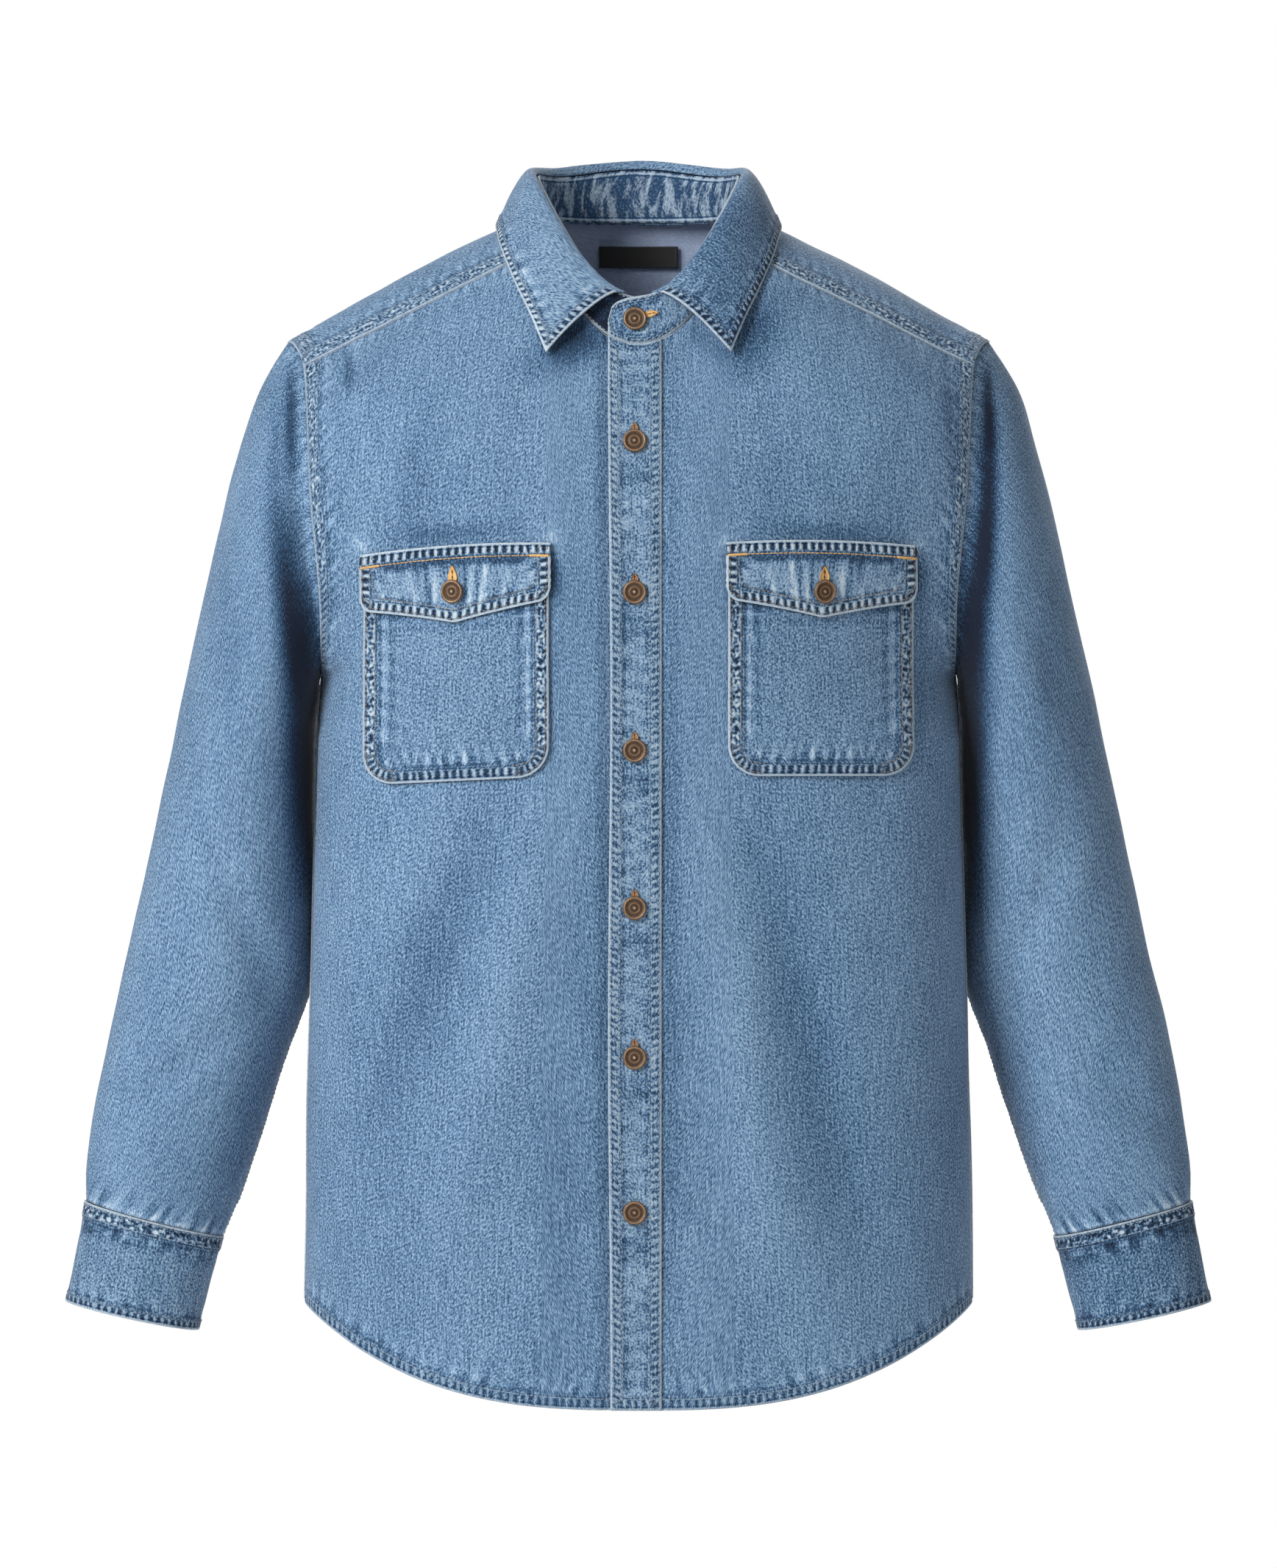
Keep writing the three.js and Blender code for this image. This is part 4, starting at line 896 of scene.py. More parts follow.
def back_seams(cloth, i, j, place):
    first, last, top, bottom = cloth.edges(i, j)
    side = min(first, last)
    if bottom < HEM_WIDTH + 3 and bottom < side:
        return bottom, cloth.across[j][i], HEM_WIDTH, 0.0, 0.0
    if side < 40 and side < top + 8:
        width = armhole_band(place.z) if place.z > UNDERARM_Z else 9
        return side, cloth.down[j][i], width, 0.0, 0.0
    if top < 34:
        return top, cloth.across[j][i] + 300, 0.0, 0.0, 0.0
    return (bottom if bottom < 40 else FAR), cloth.across[j][i], HEM_WIDTH, 0.0, 0.0


back = Cloth(
    "back_cloth", spaced(480, 3.4, 12, 12, 2), spaced(700, 3.4, 5, 12, 1.8),
    lambda across, down: back_point(mix(-1, 1, across), down), -1, back_seams, folds_at=front_ripples,
)
back.dress("back", denim_panel, denim_inside, WALL, (0.50, 0.70), 0.336, "stretched", ["yoke_cloth"])
back_sewing = Sewing("back_stitches", "blue")
for edge in ("first", "last"):
    for away in (2.2, 7.4):
        back_sewing.row(back.line(edge, away, 0.0, 0.97))
back_sewing.row(back.line("bottom", 7.2))
back_sewing.finish()

# Sleeves: each is one piece round the arm, joined by a felled seam under it and eased into the armhole.
# The cloth breaks into soft folds down the arm and is gathered a little where the cuff holds it.
# Each ring: its number, x and z of its outer and inner point, its middle y, its half depth,
# and how much of the armhole's bend it keeps
SLEEVE_RINGS = (
    (0, 233.5, -66.5, 211, -287, 3, 64, 1),
    (1, 243, -80, 212.3, -290, 4, 61, 0.85),
    (2, 254, -100, 213.5, -294.5, 7, 68, 0.45),
    (3, 263, -126, 214, -300, 12, 74, 0.15),
    (4, 273, -162, 214.5, -308, 16, 77, 0),
    (5, 283.5, -206, 215, -322, 21, 78, 0),
    (6, 294, -252, 215.3, -345, 25, 77, 0),
    (7, 306, -305, 215.7, -378, 28, 74, 0),
    (8, 318, -362, 216, -418, 30, 69, 0),
    (9, 330, -418, 216.5, -458, 30, 65, 0),
    (10, 341, -470, 218.5, -492, 29, 61, 0),
    (11, 352.5, -520, 236, -541, 26, 57, 0),
    (12, 362.5, -570, 251.5, -591, 21, 52, 0),
    (13, 368.5, -612, 266, -633, 14, 45, 0),
    (14, 368.5, -637.5, 277.5, -661.2, 8, 37, 0),
)
LAST_RING = 14

# Each fold: angle and ring of its two ends, its width, and how far it stands out or, below 0, sinks in
SLEEVE_FOLDS = (
    (70, 3, 140, 7.5, 16, -4),
    (110, 8, 40, 10.5, 15, -4.5),
    (60, 10.6, 150, 12.6, 13, -3.5),
    (300, 3, 230, 7, 17, -4),
    (230, 9, 320, 11, 15, -4),
)
MM_PER_RING = 42
MM_PER_DEGREE = 1.15
HOLLOW_BY_BODY = {"ring": 3.2, "length": 1.5, "depth": 1.3, "ease": 0.4}
SLEEVE_LINES = tuple(
    (a1 * MM_PER_DEGREE, r1 * MM_PER_RING, a2 * MM_PER_DEGREE, r2 * MM_PER_RING, width, depth)
    for a1, r1, a2, r2, width, depth in SLEEVE_FOLDS
)


def sleeve_point(side, angle, ring):
    """Point of a sleeve: the angle starts at its inner side and turns over its front."""
    a = math.radians(angle)
    outer_x, outer_z, inner_x, inner_z, middle_y, half_depth, bend = (
        read_table(SLEEVE_RINGS, ring, column) for column in range(1, 8)
    )
    centre = Vector(((outer_x + inner_x) / 2, middle_y, (outer_z + inner_z) / 2))
    flat = mix(SLEEVE_RINGS[0][3], SLEEVE_RINGS[0][1], (1 - math.cos(a)) / 2)
    point = Vector((
        centre.x - (outer_x - inner_x) / 2 * math.cos(a) + (armhole_point(angle % 360).x - flat) * bend,
        middle_y - half_depth * math.sin(a),
        centre.z - (outer_z - inner_z) / 2 * math.cos(a),
    ))
    fade = smooth(ring / 2.5) * smooth((LAST_RING - 0.2 - ring) / 1.5)
    shift = fade * fold_shift(SLEEVE_LINES, angle * MM_PER_DEGREE, ring * MM_PER_RING)
    point += (point - centre).normalized() * shift
    towards_body = HOLLOW_BY_BODY["depth"] * hump(ring - HOLLOW_BY_BODY["ring"], HOLLOW_BY_BODY["length"])
    towards_body -= HOLLOW_BY_BODY["ease"]
    point.x = side * (point.x - towards_body * clamp01(math.cos(a)) ** 2)
    return point


# Shadows in the fold that runs down each sleeve beside the armhole: two points of a line, its width,
# and how much lighter the cloth is there
LEFT_SLEEVE_MARKS = (
    (231, -84, 232, -140, 3.5, -1.9),
    (232, -115, 227, -230, 6.0, -2.4),
    (225, -190, 218, -290, 9, -2.0),
    (220, -240, 219, -440, 10, -2.2),
)
RIGHT_SLEEVE_MARKS = (
    (-231, -84, -228, -160, 4.0, -1.3),
    (-239, -110, -240, -190, 5.0, -0.5),
    (-236, -180, -224, -300, 9, -1.9),
    (-221, -235, -221, -430, 10, -2.4),
)


def side_sign(place):
    return 1.0 if place.x > 0 else -1.0


def sleeve_shade(place):
    if place.y > 10:
        return 0.0
    return fold_shift(LEFT_SLEEVE_MARKS if place.x > 0 else RIGHT_SLEEVE_MARKS, place.x, place.z)


def sleeve_seams(cloth, i, j, place):
    first, last, top, bottom = cloth.edges(i, j)
    if bottom < 24:
        along = cloth.across[j][i]
        gathers = 1.5 * waver(along / 5.2, 3.1, side_sign(place)) * smooth((20 - bottom) / 14)
        worn = 0.5 * smooth((5 - bottom) / 4) - 0.10 * smooth((18 - bottom) / 8)
        return bottom + 1, along * 1.3, 0.0, 0.0, gathers + worn
    shade = sleeve_shade(place)
    if top < 30 and top < min(first, last) + 12:
        return top + 1.2, cloth.across[j][i], 0.0, 0.0, shade - 0.3 * smooth((6 - top) / 6)
    if last < 22:
        return last, cloth.down[j][i], 9, 0.0, shade
    return (first if first < 40 else FAR), cloth.down[j][i], 0.0, 0.0, shade


def sleeve_ripples(i, j, place):
    """Soft waves down the arm, other ones on each side."""
    side_shift = place.x > 0
    wave = waver(abs(place.x) / 40, place.y / 60, place.z / 70 + 9 + side_shift)
    fine = waver(place.y / 24, place.z / 38, 4 + side_shift)
    return 1.3 * wave + 0.6 * fine, 0.12 * wave + 0.06 * fine


for side, label in SIDES:
    ring_places = [ring * LAST_RING for ring in spaced(600, 3.4, 4, 12, 2.0)]
    angles = [angle * 360 for angle in spaced(420, 3.6, 4, 12, 2.0)]
    sleeve = Cloth(
        f"sleeve_{label}_cloth", angles, ring_places,
        lambda angle, ring, side=side: sleeve_point(side, angle, ring),
        side, sleeve_seams, closed=True, folds_at=sleeve_ripples,
    )
    sleeve.dress(
        f"sleeve_{label}", denim_panel, denim_inside, WALL, (0.46, 0.60), 0.181, "stretched", ["yoke_cloth"],
    )
    sewing = Sewing(f"sleeve_{label}_stitches", "blue")
    for away in (2.2, 7.4):
        sewing.row(sleeve.line("last", away))
    sewing.finish()

# Cuffs: a doubled band round the wrist that laps over its own start at the back and closes with a button.
# A short strip finishes the slit above each lap.
# Each loop: x and z of its outer and inner point, its middle y and its half depth
CUFF_TOP = (369.5, -637.8, 276.5, -661.6, 8, 37.5)
CUFF_BOTTOM = (382, -704.5, 293, -724, 5, 37)
CUFF_LAP = {"angle": 250, "turn": 394, "step": 2.6, "end": 2.4, "rise": 16}
CUFF_WALL = 2.0
CUFF_SHADE = {1: -0.45, -1: -0.16}
denim_band = denim("denim_band", grey=0.30, lightness=-0.03, wear_and_shade=1.1, reach=10.0)


def loop_point(loop, angle):
    a = math.radians(angle)
    outer_x, outer_z, inner_x, inner_z, middle_y, half_depth = loop
    turn = (1 - math.cos(a)) / 2
    y = middle_y - half_depth * math.sin(a)
    return Vector((mix(inner_x, outer_x, turn), y, mix(inner_z, outer_z, turn)))


def cuff_point(side, turn, down):
    """Point of a cuff: turn runs round it from its lapped end at the back."""
    angle = CUFF_LAP["angle"] - turn * CUFF_LAP["turn"]
    point = loop_point(CUFF_TOP, angle).lerp(loop_point(CUFF_BOTTOM, angle), down)
    inner = loop_point(CUFF_TOP, 0).lerp(loop_point(CUFF_BOTTOM, 0), down)
    outer = loop_point(CUFF_TOP, 180).lerp(loop_point(CUFF_BOTTOM, 180), down)
    out = (point - inner.lerp(outer, 0.5)).normalized()
    point -= out * CUFF_LAP["step"] * smooth(CUFF_LAP["end"] - turn * CUFF_LAP["rise"])
    point.x *= side
    return point


def cuff_seams(cloth, i, j, place):
    first, last, top, bottom = cloth.edges(i, j)
    end = min(first, last)
    patches = (waver(cloth.across[j][i] / 9, cloth.down[j][i] / 7, side_sign(place)) - 0.35) * 0.9
    shade = CUFF_SHADE[side_sign(place)] + patches * smooth((24 - top) / 8) * smooth((top - 10) / 2)
    if end < 8 and end < min(top, bottom):
        return end, cloth.down[j][i], 6, -0.75, shade
    if top < 24 and top < bottom + 4:
        return top, cloth.across[j][i], 10.5, -0.75, shade
    return bottom, cloth.across[j][i] + 77, 7, -0.75, shade


def cuff_ripples(i, j, place):
    wave = waver(place.x / 15, place.y / 15, place.z / 30)
    return 0.5 * wave, 0.28 * wave


for side, label in SIDES:
    cuff = Cloth(
        f"cuff_{label}_cloth", spaced(285, 2.6, 4, 4, 1.6), spaced(66, 2.4, 12, 8, 1.4),
        lambda turn, down, side=side: cuff_point(side, turn, mix(0.003, 1, down)),
        -side, cuff_seams, folds_at=cuff_ripples,
    )
    cuff.dress(
        f"cuff_{label}", denim_band, denim_inside, CUFF_WALL, (0.285, 0.066), None, "stretched",
        [f"sleeve_{label}_cloth"],
    )
    sewing = Sewing(f"cuff_{label}_stitches", "blue")
    for edge, away in (("top", 2.2), ("top", 8.6), ("bottom", 6.0), ("last", 2.2)):
        sewing.row(cuff.line(edge, away))
    sewing.finish()

# Places of a sleeve's strip, by angle and ring
SLIT = {"half_angle": 13, "top": 11.4, "end": 13.95, "wall": 1.1, "gap": 0.9}


def slit_seams(cloth, i, j, place):
    first, last, top, bottom = cloth.edges(i, j)
    near = min(first, last, top)
    return near, cloth.down[j][i] + cloth.across[j][i], 6, SLIT["gap"] + SLIT["wall"] - 0.75, 0.0


for side, label in SIDES:
    ring_places = steps(SLIT["top"], SLIT["end"], 44)
    angles = steps(CUFF_LAP["angle"] - SLIT["half_angle"], CUFF_LAP["angle"] + SLIT["half_angle"], 14)
    strip = Cloth(
        f"sleeve_placket_{label}_cloth", angles, ring_places,
        lambda angle, ring, side=side: sleeve_point(side, angle, ring), side, slit_seams,
    )
    strip.dress(
        f"sleeve_placket_{label}", denim_band, denim_inside, SLIT["wall"], (0.025, 0.105), None, "laid",
        [f"sleeve_{label}_cloth"],
    )
    sewing = Sewing(f"sleeve_placket_{label}_stitches", "blue")
    for edge in ("first", "last", "top"):
        sewing.row(strip.line(edge, 2.0))
    sewing.finish()

# Collar stand: a doubled band sewn round the neck, with round top corners. Its left end laps over the right.
# Its inner side is worn and crinkled where it rubs on the neck.
STAND_TOP = {"half_width": 66.8, "middle_y": -13, "half_depth": 77, "heights": (24.6, -40, -18.4, -7.7)}
STAND_ENDS = (-17, 374)
STAND_CORNER = 24
STAND_LAP = (336, 347)
STAND_WALL = 1.6
denim_neck = denim_reverse("denim_neck", (0.016, 0.052, 0.118, 1), (0.34, 0.43, 0.53, 1), 0.62)


def stand_point(angle, up):
    """Point of the stand: the angle turns round the neck from the front, and up runs from the neck seam."""
    low, high = neck_loop(NECK, angle), neck_loop(STAND_TOP, angle)
    height = (high - low).length
    from_end = min(angle - STAND_ENDS[0], STAND_ENDS[1] - angle) * math.radians(1) * NECK["half_width"]
    cut = 0.0
    if from_end < STAND_CORNER:
        cut = STAND_CORNER - math.sqrt(max(0.0, STAND_CORNER**2 - (STAND_CORNER - from_end) ** 2))
    return low.lerp(high, up * (height - cut) / height)


def stand_seams(cloth, i, j, place):
    first, last, top, bottom = cloth.edges(i, j)
    angle = mix(*STAND_ENDS, i / cloth.columns)
    lift = -(STAND_WALL + 0.6) * smooth((angle - STAND_LAP[0]) / (STAND_LAP[1] - STAND_LAP[0])) - 0.45
    near = min(first, last, top, bottom)
    shade = -2.0 * smooth((angle - 318) / 10) + 0.25 * smooth((9 - first) / 5)
    return near, cloth.across[j][i] + cloth.down[j][i], 5, lift, shade


def stand_creases(i, j, place):
    wave = waver(place.x / 9, place.y / 9, place.z / 22)
    return 0.4 * wave, 0.25 * wave


stand = Cloth(
    "collar_stand_cloth", steps(0, 1, 210), steps(0, 1, 16),
    lambda across, down: stand_point(mix(*STAND_ENDS, across), mix(0.996, 0.004, down)), 1, stand_seams,
    folds_at=stand_creases,
)
stand.dress(
    "collar_stand", denim_band, denim_neck, STAND_WALL, (0.47, 0.036), None, "stretched", ["yoke_cloth"],
)
stand_sewing = Sewing("collar_stand_stitches", "blue")
for edge in ("first", "bottom", "top"):
    stand_sewing.row(stand.line(edge, 1.9))
stand_sewing.finish()

# Collar: a doubled fall that rises from the stand, rolls over and comes down to two sharp points.
# Its edges are stitched once, 6.5 mm in, and bleached on every bead between the stitches and the edge.
# Each place of the fall: the angle round the neck, x, y and z of its edge, and the rise of its roll
COLLAR_FALL = (
    (7, 60.5, -104, -79, 3),
    (30, 70, -93, -56, 5),
    (52, 82, -70, -30, 9),
    (75, 92, -41, -3.5, 14),
    (95, 95, -6, 11.5, 18),
    (118, 90, 28, 12, 21),
    (140, 71, 57, 12.5, 23),
    (160, 38, 75, 13, 24),
    (180, 0, 81, 13, 25),
)
COLLAR_ENDS = (7, 353)
FALL_SEAT = 0.75
ROLL_REACH = 0.28
COLLAR_WALL = 1.4


def fall_point(angle, down):
    """Point of the fall, on a curve that leaves the stand upwards and ends at the collar's edge."""
    mirrored = 360 - angle if angle > 180 else angle
    low = neck_loop(STAND_TOP, mirrored)
    rise = read_table(COLLAR_FALL, mirrored, 4)
    low.z += FALL_SEAT + WALL * COLLAR_FALL[0][4] / rise
    edge = Vector([read_table(COLLAR_FALL, mirrored, column) for column in (1, 2, 3)])
    roll = low.lerp(edge, ROLL_REACH)
    roll.z = low.z + rise
    point = low * (1 - down) ** 2 + roll * (2 * down * (1 - down)) + edge * down**2
    if angle > 180:
        point.x = -point.x
    return point


def collar_seams(cloth, i, j, place):
    first, last, top, bottom = cloth.edges(i, j)
    near = min(bottom, min(first, last) + (60 if top < 6 else 0))
    along = cloth.across[j][i] if near == bottom else cloth.down[j][i] + 40
    shade = -0.55 * smooth((place.x - 12) / 40) * smooth((55 - place.z) / 50)
    if place.x < 0 and near < 8 and near == bottom:
        shade += 0.8 * smooth((6 - near) / 4) * smooth((place.x + 98) / 6)
    return near, along, 7.6, -0.7, shade


def collar_waves(i, j, place):
    wave = waver(place.x / 30, place.y / 30, place.z / 30)
    return 0.7 * wave, 0.12 * wave


denim_collar = denim("denim_collar", grey=0.22, lightness=0.06, wear_and_shade=1.2, reach=11.0)
collar = Cloth(
    "collar_cloth", spaced(520, 2.9, 14, 14, 1.6), spaced(62, 2.3, 0, 12, 1.4),
    lambda across, down: fall_point(mix(*COLLAR_ENDS, across), mix(0.008, 1, down)), 1, collar_seams,
    folds_at=collar_waves,
)
collar.dress(
    "collar", denim_collar, denim_neck, COLLAR_WALL, (0.50, 0.085), 0.030, "folded", ["collar_stand_cloth"],
)
collar_sewing = Sewing("collar_stitches", "blue")
collar_sewing.row(collar.line("bottom", 6.8))
for edge in ("first", "last"):
    collar_sewing.row(collar.line(edge, 6.8, 0.1, 0.93))
collar_sewing.finish()

# Placket: a straight band folded on both edges and stitched twice along each, from the neck seam to the hem.
# It is laid on the left front, and carries the buttonholes and the six shank buttons that close the shirt.
PLACKET = {"left": -19, "right": 15, "wall": 1.2, "gap": 0.3}
denim_placket = denim("denim_placket", grey=0.42, lightness=-0.02, wear_and_shade=0.8, reach=6.0)


def place_placket(across, down):
    z = mix(FRONT_TOP.z, HEM_SIDE_Z, down)
    x = mix(PLACKET["left"], PLACKET["right"], across)
    x += 0.8 * math.sin(z / 62) * (1 - across)
    return front_point(x / side_edge(z, False).x, down)


PLACKET_BUTTONS = (-138.5, -236.1, -338.6, -440.7, -537.8, -638.4)


def placket_shade(place):
    """Painted shade in the crease below each button; the band is paler beside each button and rubbed pale
    along one edge.
    """
    shade = 0.14 * smooth((-11 - place.x) / 4)
    for button in PLACKET_BUTTONS:
        below = button - place.z
        shade -= 0.42 * hump(below - 22, 8) * smooth((13 - abs(place.x + 2)) / 6)
        shade += 0.30 * hump(below + 2, 10) * smooth((10 - abs(place.x - 6)) / 6)
    return shade


def placket_seams(cloth, i, j, place):
    first, last, top, bottom = cloth.edges(i, j)
    lift = PLACKET["gap"] + PLACKET["wall"] - 0.5
    if bottom < 9 and bottom < min(first, last):
        return bottom, cloth.across[j][i], HEM_WIDTH, lift, 0.0
    if top < 6 and top < min(first, last):
        return top, cloth.across[j][i], 4, lift, 0.0
    return min(first, last), cloth.down[j][i] + (350 if last < first else 0), 8.6, lift, placket_shade(place)


def placket_waves(i, j, place):
    wave = waver(place.x / 12, place.z / 26, 1.7)
    long_wave = waver(place.x / 6, place.z / 90, 4.7)
    return 0.45 * wave, 0.16 * wave + 0.20 * long_wave


placket = Cloth(
    "placket_cloth", spaced(34, 2.6, 10, 10, 1.5), spaced(690, 2.7, 6, 12, 1.6), place_placket, 1,
    placket_seams, folds_at=placket_waves,
)
placket.dress(
    "placket", denim_placket, denim_inside, PLACKET["wall"], (0.034, 0.70), None, "laid",
    ["front_left_cloth"],
)
placket_sewing = Sewing("placket_stitches", "blue")
for edge in ("first", "last"):
    for away in (2.0, 7.8):
        placket_sewing.row(placket.line(edge, away, 0.01, 0.99))
placket_sewing.row(placket.line("bottom", 7.2))
placket_sewing.finish()

# Chest pockets: a patch with round lower corners, stitched twice round, under a pointed flap.
# The flap's top row is gold and ends in bar tacks; a shank button closes it through a keyhole buttonhole.
POCKET = {
    "x": 118.3, "top": -212, "bottom": -356.8, "half_width": 60.5, "corner": 20, "wall": 1.1, "gap": 1.7,
}
POCKET_SET = {1: (1.7, 0.0), -1: (-1.5, 0.048)}
POCKET_BAND = 9.0
FLAP = {
    "top": -203.4, "arch": 2.2, "half_width": 62, "side": 36.8, "point": 50.4, "point_power": 1.04,
    "corner": 8, "wall": 1.3, "stand": 3.2,
}
FLAP_SLOPE = 0.975
FLAP_ROW_LEAN = 1.03
FLAP_BAND = 8.4
denim_pocket = denim("denim_pocket", grey=0.14, lightness=-0.07, wear_and_shade=1.15, reach=17.0, strokes_from=150)
denim_flap = denim("denim_flap", grey=0.26, lightness=-0.02, wear_and_shade=1.35, reach=7.0)


def front_at(x, z):
    """The front surface over a given x and z."""
    down = 0.5
    for _ in range(7):
        fraction = x / side_edge(mix(FRONT_TOP.z, HEM_SIDE_Z, down), False).x
        top = front_top(abs(fraction)).z
        down = clamp01((z - top) / (hem_z(abs(fraction), FRONT_DROP) - top))
    return front_point(fraction, down)


def front_normal_at(x, z):
    across = front_at(x + 2, z) - front_at(x - 2, z)
    up = front_at(x, z + 2) - front_at(x, z - 2)
    return across.cross(up).normalized()


def on_front(side, x, z, out):
    """A place of a pocket, measured from its middle line, laid on the front and moved out."""
    rise, slant = POCKET_SET[side]
    place_x, place_z = side * (POCKET["x"] + x), z + rise - slant * x
    return front_at(place_x, place_z) + front_normal_at(place_x, place_z) * out


def pocket_half(z):
    low = max(0.0, POCKET["corner"] - (z - POCKET["bottom"]))
    return POCKET["half_width"] - POCKET["corner"] + math.sqrt(max(0.0, POCKET["corner"] ** 2 - low**2))


def pocket_edge(x, z):
    """Distance to the pocket's edge and the place along it, in the pocket's own plane."""
    corner = POCKET["corner"]
    x_in, z_in = abs(x) - (POCKET["half_width"] - corner), (POCKET["bottom"] + corner) - z
    if x_in > 0 and z_in > 0:
        turn = math.atan2(z_in, x_in)
        return corner - math.hypot(x_in, z_in), 140 + turn * corner
    if z_in > x_in:
        return corner - z_in, 200 - x
    return corner - x_in, z + 300


def pocket_band(along):
    """The band is a little wider down the sides than round the bottom."""
    return POCKET_BAND + 0.8 * smooth((142 - along) / 12)


def flap_top(x):
    return FLAP["top"] - FLAP["arch"] * (x / FLAP["half_width"]) ** 2


def flap_height(across):
    away, corner = abs(across), FLAP["corner"]
    into_corner = min(corner, max(0.0, corner - FLAP["half_width"] * (1 - away)))
    cut = corner - math.sqrt(corner**2 - into_corner**2)
    return mix(FLAP["side"], FLAP["point"], (1 - away) ** FLAP["point_power"]) - cut


def local_seams(flat, lift, width_at, edge_at, shade_at):
    """Seams of a piece laid on the front, from the place of each point in the piece's own plane."""
    def seam_at(cloth, i, j, place):
        x, z = flat[j][i]
        near, along = edge_at(x, z)
        return near, along, width_at(along), lift, shade_at(x, z)

    return seam_at


def laid_cloth(name, side, acrosses, downs, flat_at, out_at, lift, width_at, edge_at, shade_at, folds):
    """A piece laid on the front: flat_at gives each point's place in the piece's own plane."""
    flat = [[flat_at(across, down) for across in acrosses] for down in downs]
    places = {(a, d): flat[j][i] for j, d in enumerate(downs) for i, a in enumerate(acrosses)}
    return Cloth(
        name, acrosses, downs, lambda across, down: on_front(side, *places[across, down], out_at(down)), side,
        local_seams(flat, lift, width_at, edge_at, shade_at), folds_at=folds,
    )


def pocket_shade(x, z):
    """Painted shadow under the flap and just below its edge, with a pale line above that, and paler and
    darker lines along the fold inside each side band and on the pleats at the bottom.
    """
    mouth = hump(z + 252, 2.2) * 0.20 - hump(z + 256.5, 2.0) * 0.30
    near, along = pocket_edge(x, z)
    fold_line = 0.0
    if along < 150:
        fold_line = (hump(near - 13.5, 1.9) * 0.6 - hump(near - 18.5, 1.8) * 0.4) * smooth((z + 338) / 10)
    pleats = 0.0
    if along >= 150 and near > POCKET_BAND:
        ridge = math.sin(2 * math.pi * x / 8.3 + 1.4 * waver(x / 19, 2.2, 6.1))
        pleats = (1.25 * max(0.0, ridge) ** 2 - 0.25) * smooth((POCKET_BAND + 14 - near) / 9)
    return mouth + fold_line + pleats - 0.45 * smooth((z + 258) / 12)


def pocket_waves(i, j, place):
    wave = waver(place.x / 22, place.z / 34, 8.7)
    return 0.5 * wave, 0.10 * wave


def flap_edge(x, z):
    """Distance to the side, point or top edge of a flap, and the place along it."""
    across, corner = x / FLAP["half_width"], FLAP["corner"]
    side_away = FLAP["half_width"] - abs(x)
    straight = mix(FLAP["side"], FLAP["point"], (1 - abs(across)) ** FLAP["point_power"])
    low_away = (z - (flap_top(x) - straight)) * FLAP_SLOPE
    top_away = flap_top(x) - z
    if top_away < 8 and top_away < low_away:
        return top_away, x + 200
    if side_away < corner and low_away < corner:
        return corner - math.hypot(corner - side_away, corner - low_away), z - abs(x)
    if side_away < low_away:
        return side_away, z
    return low_away, x + 400


# Pleats pulled by the button, which have no shape of their own: painted light and shade along each.
# Each: its place across the flap and how much lighter the cloth is there
FLAP_PLEATS = (
    (-32, 0.4), (-18, 1.1), (-14.5, -1.0), (-10, 0.7), (-7, -1.1), (6.5, -0.5),
    (9, 0.4), (13, 1.1), (16.5, -0.9), (22, -0.5), (27, 0.4), (33, -0.35),
)


def flap_shade(x, z):
    top_away = flap_top(x) - z
    groove = -1.1 * hump(top_away - 11, 2.6) * smooth((56 - abs(x)) / 12)
    pleats = 0.0
    for middle, depth in FLAP_PLEATS:
        lean = middle * (1 - 0.16 * (top_away - 30) / 20)
        pleats += depth * hump(x - lean, 1.6)
    pleats *= smooth((top_away - 9) / 6) * smooth((44 - top_away) / 6)
    blotches = waver(x / 7, top_away / 5, 3.3) * 0.5
    blotches *= smooth((26 - top_away) / 14) * smooth((top_away - 9) / 3)
    return groove + pleats + blotches + 0.16 * smooth((top_away - 14) / 8)


def flap_waves(i, j, place):
    wave = waver(place.x / 14, place.z / 20, 2.2)
    return 0.5 * wave, 0.34 * wave


def flap_place(across, down):
    x = across * FLAP["half_width"]
    return x, flap_top(x) - down * flap_height(across)


def flap_out(down):
    return mix(POCKET["gap"], FLAP["stand"], smooth(down * 6)) + FLAP["wall"]


for side, label in SIDES:
    corner_top = POCKET["bottom"] + POCKET["corner"]
    depths = [mix(POCKET["top"], corner_top, t) for t in spaced(125, 2.6, 0, 0)]
    depths += [POCKET["bottom"] + POCKET["corner"] * (1 - t) ** 1.6 for t in steps(0, 1, 15)][1:]
    widths = [2 * t - 1 for t in spaced(121, 2.7, 11, 11, 1.6)]
    pocket = laid_cloth(
        f"pocket_{label}_cloth", side, widths, depths, lambda across, z: (across * pocket_half(z), z),
        lambda z: POCKET["gap"] + POCKET["wall"], -0.7, pocket_band, pocket_edge, pocket_shade, pocket_waves,
    )
    pocket.dress(
        f"pocket_{label}", denim_pocket, denim_inside, POCKET["wall"], (0.135, 0.148), None, "laid",
        [f"front_{label}_cloth"],
    )
    heights = spaced(50, 2.0, 9, 9, 1.3)
    widths = [2 * t - 1 for t in spaced(123, 2.5, 11, 11, 1.5)]
    flap = laid_cloth(
        f"flap_{label}_cloth", side, widths, heights, flap_place, flap_out, -0.5, lambda along: FLAP_BAND,
        flap_edge, flap_shade, flap_waves,
    )
    flap.dress(
        f"flap_{label}", denim_flap, denim_inside, FLAP["wall"], (0.137, 0.0506), 0.0058, "laid",
        [f"pocket_{label}_cloth"],
    )

